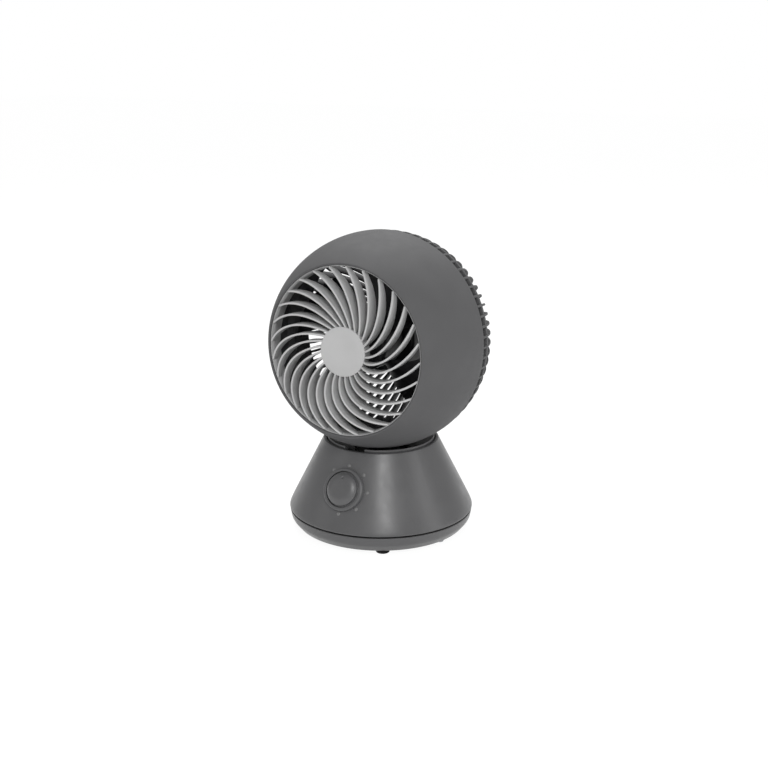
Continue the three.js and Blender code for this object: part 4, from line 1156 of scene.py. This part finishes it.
@dataclass
class Impeller(Assembly):
    """The four swept blades on their hub, and the cap nut that holds them on the shaft."""

    radius: float = 74.0
    hub_radius: float = 25.0
    rear_z: float = 2.0
    front_z: float = 38.0
    wall: float = 2.4
    bore: float = 4.3
    boss: float = 8.0
    boss_inset: float = 4.0
    count: int = 4
    first_deg: float = -41.0
    root_deg: float = 44.0
    tip_deg: float = 58.0
    skew_deg: float = 16.0
    root_rise: float = 30.0
    tip_rise: float = 25.0
    camber: float = 4.0
    middle_z: float = 22.0
    root_thickness: float = 2.0
    tip_thickness: float = 1.4
    rounded_share: float = 0.14  # of the blade's length, where its corners are rounded
    corner_share: float = 0.30  # of the chord, that the rounding takes at the tip
    nut_radius: float = 8.0
    nut_height: float = 8.0
    flutes: int = 12
    flute_depth: float = 0.07  # share of the radius
    flute_length: float = 3.0  # over which a flute fades

    def hub(self) -> Surface:
        """A cup with a rounded nose, open behind, with a boss on the shaft.

        Returns:
            The cup.
        """
        inner = self.hub_radius - self.wall
        floor = self.front_z - self.wall
        foot = self.rear_z + self.boss_inset
        rows = [
            (inner, self.rear_z, 0.4), (self.hub_radius, self.rear_z, 0.6),
            (self.hub_radius, self.front_z, 5.0), (self.bore, self.front_z, 0.3),
            (self.bore, foot, 0.3), (self.boss, foot, 0.4), (self.boss, floor, 1.0),
            (inner, floor, 3.5),
        ]
        return turned(rows, facets=160, closed=True, steps=8)

    def blade(self) -> Array:
        """One blade's loops, root to tip.

        A loop runs out along one face and back along the other. Along the chord, from -0.5 to 0.5,
        the angle is skew + arc * along and the height is middle + rise * along +
        camber * (1 - 4 along^2), with half the thickness, times the root of sin round the loop,
        added or taken away. The corners are rounded by drawing the chord in near the tip.

        Returns:
            Stations by loop points by 3.
        """
        radius = np.linspace(self.hub_radius - self.wall / 2.0, self.radius, 40)[:, None]
        out = (radius - radius[0]) / (self.radius - radius[0])
        way = np.linspace(0.0, 2.0 * math.pi, 56, endpoint=False)[None, :]
        tip = np.clip((out - 1.0 + self.rounded_share) / self.rounded_share, 0.0, 1.0)
        # At the very tip the root is kept off 0, so that the last loop doesn't fold.
        chord = 1.0 - self.corner_share * (1.0 - np.sqrt(1.0 - 0.999 * tip**2))
        along = -0.5 * np.cos(way) * chord
        arc = np.radians(self.root_deg + (self.tip_deg - self.root_deg) * out)
        rise = self.root_rise + (self.tip_rise - self.root_rise) * out
        thickness = self.root_thickness + (self.tip_thickness - self.root_thickness) * out
        angle = np.radians(self.skew_deg * out**2) + arc * along
        side = np.sin(way)
        face = 0.5 * thickness * np.sign(side) * np.abs(side) ** 0.5
        z = self.middle_z + rise * along + self.camber * (1.0 - 4.0 * along**2) + face
        return np.stack([radius * np.cos(angle), radius * np.sin(angle), z], axis=-1)

    def nut(self) -> Surface:
        """A round cap nut with grip flutes: its radius is R - d |cos(n a / 2)|^8 round the side.

        Returns:
            The nut.
        """
        low = self.front_z + GAP
        high = low + self.nut_height
        edge = self.nut_radius
        rows = [(0.0, low, 0), (edge, low, 0.4), (edge, high, 2.2), (0.0, high, 0)]
        surface = turned(rows, facets=144)
        x, y, z = surface.vertices.T
        flute = np.abs(np.cos(self.flutes / 2.0 * np.arctan2(y, x))) ** 8
        from_middle = np.hypot(x, y) - self.nut_radius + self.flute_length
        outwards = np.clip(from_middle / self.flute_length, 0.0, 1.0)
        downwards = np.clip((high - z) / self.flute_length, 0.0, 1.0)
        surface.vertices[:, :2] *= (1.0 - self.flute_depth * outwards * downwards * flute)[:, None]
        return surface

    def build(self) -> None:
        """Makes the hub, the blades and the nut, and dresses the shaft and the rotor."""
        blades = bars(spun(self.blade(), self.count, math.radians(self.first_deg)))
        self.add("blades", blades, BLADE, "blade_black", ["impeller"], sharp_deg=50.0)
        self.add("blade_hub", self.hub(), BLADE, "blade_black")
        self.add("shaft_cap_nut", self.nut(), BLADE, "blade_black", ["spinner_nut"])
        self.wardrobe.dress_nodes(STEEL, "motor_shaft")
        self.wardrobe.dress_nodes(LAMINATED, "rotor_core")


@dataclass(frozen=True)
class Cone:
    """The base's outline, from the seam to the cone's top edge."""

    radius: float = 90.8
    seam_z: float = 19.6
    seam_gap: float = 1.8
    wall: float = 2.6
    top_z: float = 90.9
    top_radius: float = 56.3
    foot_z: float = 34.0
    foot_radius: float = 85.1
    foot_start: float = 0.9  # height of the rounded foot's start over the seam
    dial_z: float = 57.8

    def half_angle(self) -> float:
        """The slope of the side, from upright, in radians."""
        return math.atan((self.foot_radius - self.top_radius) / (self.top_z - self.foot_z))

    def level_wall(self) -> float:
        """The thickness of the side's wall, measured level."""
        return self.wall / math.cos(self.half_angle())

    def radius_at(self, z: float) -> float:
        """Radius of the straight side at a height."""
        share = (z - self.foot_z) / (self.top_z - self.foot_z)
        return self.foot_radius + (self.top_radius - self.foot_radius) * share

    def stand(self, x: float, z: float) -> Placement:
        """Where a thing stands square on the front of the side, at x aside and z up."""
        y = -math.sqrt(self.radius_at(z) ** 2 - x * x)
        return Placement.facing((x, y, z), self.half_angle(), math.atan2(x, -y))

    def corner(self, inset: float) -> Array:
        """The rounded foot of the cone.

        It is (1-t)^2 A + 2t(1-t) B + t^2 C, with B where the side would end.

        Args:
            inset: How far inside the outline it is.

        Returns:
            Points of [radius, height], going up.
        """
        low = self.seam_z + self.seam_gap / 2.0
        bend = self.foot_z - (self.radius - self.foot_radius) / math.tan(self.half_angle())
        share = np.linspace(0.0, 1.0, 25)[:, None]
        start = np.array([self.radius - inset, low + self.foot_start])
        middle = np.array([self.radius - inset, bend])
        end = np.array([self.foot_radius - inset, self.foot_z])
        return (1.0 - share) ** 2 * start + 2.0 * share * (1.0 - share) * middle + share**2 * end


CONE = Cone()


@dataclass
class BaseCone(Assembly):
    """The upper housing of the base, and the raised dots round the dial."""

    dots: int = 6
    dot_circle: float = 23.1
    dot_radius: float = 1.8
    dot_height: float = 0.8
    dot_pitch_deg: float = 45.0
    dot_first_deg: float = -45.0

    def shell(self) -> Surface:
        """Up the outside, over the rounded top edge, and down the inside.

        Returns:
            The housing.
        """
        low = CONE.seam_z + CONE.seam_gap / 2.0
        foot, inside = CONE.corner(0.0), CONE.corner(CONE.wall)
        top = outline(
            [
                (*foot[-1], 0), (CONE.top_radius, CONE.top_z, 1.2),
                (CONE.top_radius - CONE.level_wall(), CONE.top_z, 0.5), (*inside[-1], 0),
            ]
        )
        edge = outline(
            [
                (*inside[0], 0), (CONE.radius - CONE.wall, low, 0.2), (CONE.radius, low, 0.7),
                (*foot[0], 0),
            ]
        )
        return revolve(np.concatenate([foot[:-1], top, inside[::-1][1:-1], edge]), facets=320)

    def dial_dots(self) -> Surface:
        """The dots: low domes, whose height falls with the square of the radius.

        Returns:
            All the dots, each square on the cone.
        """
        radius = np.linspace(self.dot_radius, 0.0, 12)
        height = self.dot_height * (1.0 - (radius / self.dot_radius) ** 2)
        foot = [(0.0, -self.dot_height), (self.dot_radius, -self.dot_height)]
        profile = np.concatenate([foot, np.stack([radius, height], axis=-1)])
        dot = revolve(profile, facets=32)
        made = []
        rise = self.dot_circle * math.cos(CONE.half_angle())
        for i in range(self.dots):
            angle = math.radians(self.dot_first_deg + i * self.dot_pitch_deg)
            x = self.dot_circle * math.sin(angle)
            z = CONE.dial_z + rise * math.cos(angle)
            made.append(dot.placed(CONE.stand(x, z)))
        return Surface.joined(made)

    def build(self) -> None:
        """Makes the housing and the dots."""
        self.add("base_cone_skin", self.shell(), CASE, "case_grey", ["base_cone"])
        self.add("dial_dots", self.dial_dots(), DOT, "case_grey")


@dataclass
class BaseTray(Assembly):
    """The shallow tray under the cone, its feet and its screws."""

    bottom_z: float = 3.5
    bottom_radius: float = 83.1
    middle_z: float = 10.8
    middle_radius: float = 89.1
    groove_radius: float = 50.0
    groove_width: float = 9.0
    groove_depth: float = 0.5
    groove_slope: float = 1.0
    feet: int = 4
    first_foot_deg: float = 30.0
    foot_radius: float = 6.5
    foot_circle: float = 76.0
    foot_hollow: float = 0.5  # depth of the hollow under a foot
    foot_hollow_radius: float = 3.2
    peg_radius: float = 2.6
    peg_length: float = 5.0
    screws: int = 3
    first_screw_deg: float = 75.0
    screw_circle: float = 78.5
    screw_radius: float = 1.8
    screw_length: float = 24.0
    head_radius: float = 3.6
    head_height: float = 1.8
    cross_reach: float = 2.0
    cross_half_width: float = 0.42
    cross_depth: float = 0.9

    def shell(self) -> Surface:
        """The tray's floor, with its ring groove, and its sloping rim.

        Returns:
            The tray.
        """
        top = CONE.seam_z - CONE.seam_gap / 2.0
        low, floor = self.bottom_z, self.bottom_z + CONE.wall
        groove, slope = low + self.groove_depth, self.groove_slope
        start, end = self.groove_radius, self.groove_radius + self.groove_width
        rows = [
            (0.0, low, 0), (start, low, 0.4), (start + slope, groove, 0.4),
            (end - slope, groove, 0.4), (end, low, 0.4), (self.bottom_radius, low, 2.0),
            (self.middle_radius, self.middle_z, 9.0), (CONE.radius - GAP, top, 0.6),
            (CONE.radius - CONE.wall, top, 0.4),
            (self.middle_radius - CONE.wall, self.middle_z, 4.0),
            (self.bottom_radius - CONE.wall, floor, 1.5), (0.0, floor, 0),
        ]
        return turned(rows, facets=320, steps=8)

    def foot(self) -> Surface:
        """A rubber foot: a rounded pad, hollow underneath, and a peg up through the tray.

        Returns:
            The foot, on the fan's axis.
        """
        top = self.bottom_z - GAP
        end = top + self.peg_length
        rows = [
            (0.0, self.foot_hollow, 0), (self.peg_radius, self.foot_hollow, 0.2),
            (self.foot_hollow_radius, 0.0, 0.3), (self.foot_radius, 0.0, 0.8),
            (self.foot_radius, top, 0.5), (self.peg_radius, top, 0.2), (self.peg_radius, end, 0.6),
            (0.0, end, 0),
        ]
        return turned(rows, facets=72)

    def screw(self) -> Surface:
        """A pan-head screw: a cross is pressed in where |x| or |y| is small on the head.

        Returns:
            The screw, on the fan's axis.
        """
        top = self.bottom_z - GAP
        low, end = top - self.head_height, top + self.screw_length
        profile = outline(
            [
                (0.0, low, 0), (self.head_radius, low, 1.2), (self.head_radius, top, 0),
                (self.screw_radius, top, 0.2), (self.screw_radius, end, 0.3), (0.0, end, 0),
            ]
        )
        across = np.linspace(0.0, self.cross_reach + 0.2, 12)
        face = np.stack([across, np.full_like(across, low)], axis=-1)
        surface = revolve(np.concatenate([face, profile[1:]]), facets=64)
        x, y, z = surface.vertices.T
        arm = np.minimum(np.abs(x), np.abs(y)) < self.cross_half_width
        pressed = arm & (np.hypot(x, y) < self.cross_reach) & (z < low + 0.1)
        z += self.cross_depth * pressed
        return surface

    def build(self) -> None:
        """Makes the tray, its feet and its screws, and dresses the ballast."""
        self.add("base_tray_skin", self.shell(), CASE, "case_grey", ["base_tray"])
        foot = (self.foot(), FOOT_RUBBER, "rubber_black")
        screw = (self.screw(), STEEL, "steel")
        for name, node, (surface, finish, slot), count, first_deg, circle in (
            ("foot_pad", "foot", foot, self.feet, self.first_foot_deg, self.foot_circle),
            (
                "cross_screw", "tray_screw", screw,
                self.screws, self.first_screw_deg, self.screw_circle,
            ),
        ):
            for i in range(count):
                angle = math.radians(first_deg + 360.0 * i / count)
                shift = np.array([circle * math.sin(angle), -circle * math.cos(angle), 0.0])
                copy = Surface(surface.vertices + shift, surface.faces)
                self.add(f"{name}_{i + 1}", copy, finish, slot, [f"{node}_{i + 1}"])
        self.wardrobe.dress_nodes(STEEL, "ballast_plate")


@dataclass
class Dial(Assembly):
    """The fixed bezel of the speed dial, with the switch behind it."""

    bore: float = 17.3
    radius: float = 20.6
    height: float = 3.4
    step: float = -4.2  # height of the step down to the skirt
    skirt_radius: float = 18.7
    skirt_length: float = 8.0

    def build(self) -> None:
        """Makes a collar, its skirt carried down inside the cone, and dresses the switch."""
        rows = [
            (self.bore, -self.skirt_length, 0.3), (self.skirt_radius, -self.skirt_length, 0.3),
            (self.skirt_radius, self.step, 0), (self.radius, self.step, 0.3),
            (self.radius, self.height, 2.7), (self.bore, self.height, 0.4),
        ]
        collar = turned(rows, facets=160, closed=True, steps=8)
        self.add("dial_collar", collar, CASE, "case_grey", ["dial_bezel"])
        self.wardrobe.dress_nodes(FRAME_PLASTIC, "rotary_switch")


@dataclass
class Knob(Assembly):
    """The turning knob: a drum with a crowned face and a pointer dimple."""

    radius: float = 15.6
    height: float = 8.5
    crown: float = 3.8
    edge: float = 0.9
    seat: float = -1.0
    skirt_radius: float = 16.9  # of the step round its foot, inside the bezel
    skirt_height: float = 2.2
    shaft_radius: float = 3.0
    shaft_length: float = 12.0
    pointer_circle: float = 10.7
    pointer_radius: float = 1.5
    pointer_depth: float = 0.9

    def face(self, radius: Array) -> Array:
        """Height of the crowned face: height - crown * (r / R)^4."""
        return self.height - self.crown * (np.asarray(radius) / self.radius) ** 4

    def build(self) -> None:
        """Makes the knob, with the pointer pressed in by a smooth bump round its middle."""
        inner = self.radius - self.edge
        end = self.seat - self.shaft_length
        side = outline(
            [
                (0.0, end, 0), (self.shaft_radius, end, 0.4), (self.shaft_radius, self.seat, 0.3),
                (self.skirt_radius, self.seat, 0.4), (self.skirt_radius, self.skirt_height, 0.4),
                (self.radius, self.skirt_height, 0.4), (self.radius, self.face(self.radius), 0.6),
                (inner, self.face(inner), 0),
            ],
            steps=8,
        )
        radius = np.linspace(inner, 0.0, 90)[1:]
        crowned = np.stack([radius, self.face(radius)], axis=-1)
        surface = revolve(np.concatenate([side, crowned]), facets=256)
        x, y, z = surface.vertices.T
        away = np.hypot(x, y - self.pointer_circle) / self.pointer_radius
        pressed = self.pointer_depth * np.clip(1.0 - away**2, 0.0, 1.0) ** 0.8
        on_face = (z > 0.0) & (np.hypot(x, y) < inner)
        z -= pressed * on_face
        self.add("knob_skin", surface, CASE, "case_grey", ["speed_knob"], sharp_deg=60.0)


@dataclass
class Neck(Assembly):
    """The turntable's dish in the top of the cone, where the globe sits."""

    hollow_radius: float = 112.0
    collar_radius: float = 109.0  # of the collar's top edge, about the head's centre
    collar_wall: float = 2.6
    rim_gap: float = 0.7
    wall: float = 3.2
    skirt: float = 5.0
    flange_z: float = 70.5
    flange_radius: float = 34.0
    plate_z: float = 75.5
    plate_radius: float = 26.5
    plate_slope: float = 1.0
    stem_radius: float = 16.8
    stem_bore: float = 9.0
    stem_z: float = 44.0
    slot_half_width: float = 10.4  # of the way for the tilt guide, front and back

    def bowl(self, sphere: float, radius: Array) -> Array:
        """Height, at a radius, of the lower half of a sphere about the head's centre."""
        return HEAD_Z - np.sqrt(sphere**2 - np.asarray(radius) ** 2)

    def top(self, radius: Array) -> Array:
        """Height of the dish's upper face, clear of the globe."""
        return self.bowl(self.hollow_radius, radius)

    def build(self) -> None:
        """Makes the dish, the guide's way cut in its collar, and dresses what turns with it."""
        rim = CONE.top_radius - CONE.level_wall() - self.rim_gap
        inner = rim - self.collar_wall
        low = self.top(rim) - self.skirt
        radius = np.linspace(inner - GAP, self.plate_radius, 40)
        hollow = np.stack([radius, self.top(radius)], axis=-1)
        first = outline(
            [
                (self.stem_radius, self.stem_z, 0), (self.stem_radius, self.flange_z, 0),
                (self.flange_radius, self.flange_z, 0.4),
                (self.flange_radius, self.top(self.flange_radius) - self.wall, 0.8),
                (rim - self.wall, low, 0.3), (rim, low, 0.3),
                (rim, self.bowl(self.collar_radius, rim), 0.7),
                (inner, self.bowl(self.collar_radius, inner), 0.5),
                (inner, self.top(inner), 0.1), (*hollow[0], 0),
            ]
        )
        last = outline(
            [
                (*hollow[-1], 0), (self.plate_radius - self.plate_slope, self.plate_z, 0.3),
                (self.stem_bore, self.plate_z, 0.4), (self.stem_bore, self.stem_z, 0.3),
                (self.stem_radius, self.stem_z, 0),
            ]
        )
        surface = revolve(np.concatenate([first, hollow[1:-1], last]), facets=720)
        x, y, z = surface.vertices.T
        in_way = (np.abs(x) < self.slot_half_width) & (np.hypot(x, y) > inner - 0.1)
        z[in_way] = np.minimum(z[in_way], self.top(inner))
        self.add("neck_dish_skin", surface, CASE, "case_grey", ["neck_dish"])
        self.wardrobe.dress_nodes(FRAME_PLASTIC, "tilt_saddle")
        self.wardrobe.dress_nodes(NATURAL, "turntable_gear")
        self.wardrobe.dress_nodes(STEEL, "stem_nut")


@dataclass
class Inside(Assembly):
    """What the base holds, and the cord's gland in its back."""

    gland_z: float = 27.0
    gland_radius: float = 6.0
    gland_bore: float = 3.4
    gland_length: float = 12.0
    gland_reach: float = 1.0  # of its neck, past the cone's widest
    flange_radius: float = 8.0
    flange_thickness: float = 1.6

    def build(self) -> None:
        """Makes the gland, a flange and a neck through the wall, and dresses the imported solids."""
        wall = CONE.radius + self.gland_reach
        start, end = wall - self.gland_length, wall + self.flange_thickness
        rows = [
            (self.gland_bore, start, 0.2), (self.gland_radius, start, 0.4),
            (self.gland_radius, wall, 0), (self.flange_radius, wall, 0.3),
            (self.flange_radius, end, 0.9), (self.gland_bore, end, 0.5),
        ]
        backwards = Placement((0.0, 0.0, self.gland_z), (0.0, 1.0, 0.0), (0.0, 0.0, 1.0))
        gland = turned(rows, facets=72, closed=True).placed(backwards)
        self.add("cord_gland_skin", gland, FOOT_RUBBER, "rubber_black", ["cord_gland"])
        self.wardrobe.dress_nodes(FRAME_PLASTIC, "deck", "board_carrier")
        self.wardrobe.dress_nodes(NATURAL, "pan_washer", "swing_pinion")
        self.wardrobe.dress_nodes(BOARD, "control_board")
        self.wardrobe.dress_nodes(STEEL, "swing_motor")


# --- Stage ---


@dataclass(frozen=True)
class Lamp:
    """A soft area light aimed at the fan's middle; its place and sizes are in metres."""

    name: str
    place: Triple
    width: float
    height: float
    power: float
    aim_z: float = 0.16

    def build(self) -> None:
        """Hangs the lamp."""
        data = bpy.data.lights.new(self.name, "AREA")
        data.shape = "RECTANGLE"
        data.size, data.size_y = self.width, self.height
        data.energy = self.power
        lamp = linked(self.name, data)
        lamp.location = self.place
        aim = Vector((0.0, 0.0, self.aim_z)) - Vector(self.place)
        lamp.rotation_euler = aim.to_track_quat("-Z", "Y").to_euler()


def ray_switch(
    tree: bpy.types.NodeTree, rays: tuple[str, str], share: float, sockets: Sequence[Socket]
) -> None:
    """Mixes two shaders by the kind of ray that looks.

    Args:
        tree: The node tree.
        rays: The kinds of ray that see the second shader.
        share: How much of the second shader they see.
        sockets: The first shader, the second shader, and where the mix goes.
    """
    path = tree.nodes.new("ShaderNodeLightPath")
    seen, part = (tree.nodes.new("ShaderNodeMath") for _ in range(2))
    seen.operation, part.operation = "MAXIMUM", "MULTIPLY"
    part.inputs[1].default_value = share
    mix = tree.nodes.new("ShaderNodeMixShader")
    first, second, target = sockets
    for output, socket in (
        (path.outputs[rays[0]], seen.inputs[0]), (path.outputs[rays[1]], seen.inputs[1]),
        (seen.outputs[0], part.inputs[0]), (part.outputs[0], mix.inputs["Fac"]),
        (first, mix.inputs[1]), (second, mix.inputs[2]), (mix.outputs["Shader"], target),
    ):
        tree.links.new(output, socket)


@dataclass
class Studio:
    """The camera at the photograph's place, a white floor and soft light."""

    azimuth_deg: float = 28.674
    elevation_deg: float = 15.903
    distance: float = 1224.5
    aside: float = 2.915  # of the aim, to the right of the fan's axis
    aim_z: float = 143.52
    focal: float = 58.83
    sensor: float = 36.0
    floor_half: float = 6.0  # metres
    floor_white: float = 0.9
    floor_hold: float = 0.85  # share of plain white that the camera sees in the floor
    floor_glow: float = 1.1
    sky: float = 0.45
    lamps: tuple[Lamp, ...] = (
        Lamp("top_back", (-0.4, 0.8, 1.6), 1.4, 0.9, 20.0),
        Lamp("front_high", (0.86, -1.28, 1.2), 0.42, 0.9, 11.0),
        Lamp("key_left", (-1.5, -1.3, 0.9), 0.7, 1.2, 1.2),
        Lamp("fill_right", (1.8, 0.2, 0.6), 0.6, 1.4, 4.5),
    )

    def camera(self) -> None:
        """Sets the camera back along its azimuth and elevation from the aim, looking at it."""
        azimuth, elevation = math.radians(self.azimuth_deg), math.radians(self.elevation_deg)
        level = math.cos(elevation)
        back = Vector((math.sin(azimuth) * level, -math.cos(azimuth) * level, math.sin(elevation)))
        right = Vector((math.cos(azimuth), math.sin(azimuth), 0.0))
        aim = (right * self.aside + Vector((0.0, 0.0, self.aim_z))) * MM
        data = bpy.data.cameras.new("camera")
        data.lens = self.focal
        data.sensor_width = self.sensor
        camera = linked("camera", data)
        camera.location = aim + back * self.distance * MM
        camera.rotation_euler = (-back).to_track_quat("-Z", "Y").to_euler()
        bpy.context.scene.camera = camera

    def floor(self) -> None:
        """A pale floor that keeps the fan's shadow, and looks white to the camera elsewhere."""
        half, white = self.floor_half, self.floor_white
        mesh = bpy.data.meshes.new("floor")
        square = [(-half, -half, 0), (half, -half, 0), (half, half, 0), (-half, half, 0)]
        mesh.from_pydata(square, [], [(0, 1, 2, 3)])
        floor = linked("floor", mesh)
        nodes = Nodes("floor_white")
        nodes.set(Base_Color=(white, white, white, 1.0), Roughness=0.9, Specular_IOR_Level=0.0)
        glow = nodes.tree.nodes.new("ShaderNodeEmission")
        glow.inputs["Strength"].default_value = self.floor_glow
        surface = nodes.tree.nodes["Material Output"].inputs["Surface"]
        shaders = (nodes.shader.outputs["BSDF"], glow.outputs["Emission"], surface)
        ray_switch(nodes.tree, ("Is Camera Ray", "Is Glossy Ray"), self.floor_hold, shaders)
        mesh.materials.append(nodes.material)

    def world(self) -> None:
        """An even sky: plain white where the camera sees it, softer as light."""
        world = bpy.data.worlds.new("sky")
        bpy.context.scene.world = world
        world.use_nodes = True
        tree = world.node_tree
        sky, white = tree.nodes["Background"], tree.nodes.new("ShaderNodeBackground")
        for shader, strength in ((sky, self.sky), (white, 1.0)):
            shader.inputs["Color"].default_value = (1.0, 1.0, 1.0, 1.0)
            shader.inputs["Strength"].default_value = strength
        surface = tree.nodes["World Output"].inputs["Surface"]
        shaders = (sky.outputs["Background"], white.outputs["Background"], surface)
        ray_switch(tree, ("Is Camera Ray", "Is Transmission Ray"), 1.0, shaders)

    def build(self) -> None:
        """Sets the whole stage."""
        self.camera()
        self.floor()
        self.world()
        for lamp in self.lamps:
            lamp.build()
        bpy.context.scene.view_settings.view_transform = "Standard"


def corners(box: tuple[Vector, Vector]) -> list[list[float]]:
    """A box's two corners as plain lists."""
    return [list(corner) for corner in box]


def main() -> None:
    """Builds the stage and every sub-assembly."""
    logging.basicConfig(level=logging.INFO, format="%(message)s")
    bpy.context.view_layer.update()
    Studio().build()
    wardrobe = Wardrobe()
    head = Placement.facing((0.0, 0.0, HEAD_Z), math.radians(HEAD_TILT_DEG))
    dial = CONE.stand(0.0, CONE.dial_z)
    assemblies = [
        HeadShell(wardrobe, Body.HEAD, head),
        FrontGrille(wardrobe, Body.HEAD, head),
        RearGrille(wardrobe, Body.HEAD, head),
        Motor(wardrobe, Body.HEAD, head),
        Impeller(wardrobe, Body.ROTOR, head),
        BaseCone(wardrobe),
        BaseTray(wardrobe),
        Dial(wardrobe, Body.BASE, dial),
        Knob(wardrobe, Body.KNOB, dial),
        Neck(wardrobe, Body.TURNTABLE),
        Inside(wardrobe),
    ]
    for assembly in assemblies:
        assembly.build()


if __name__ == "__main__":
    main()
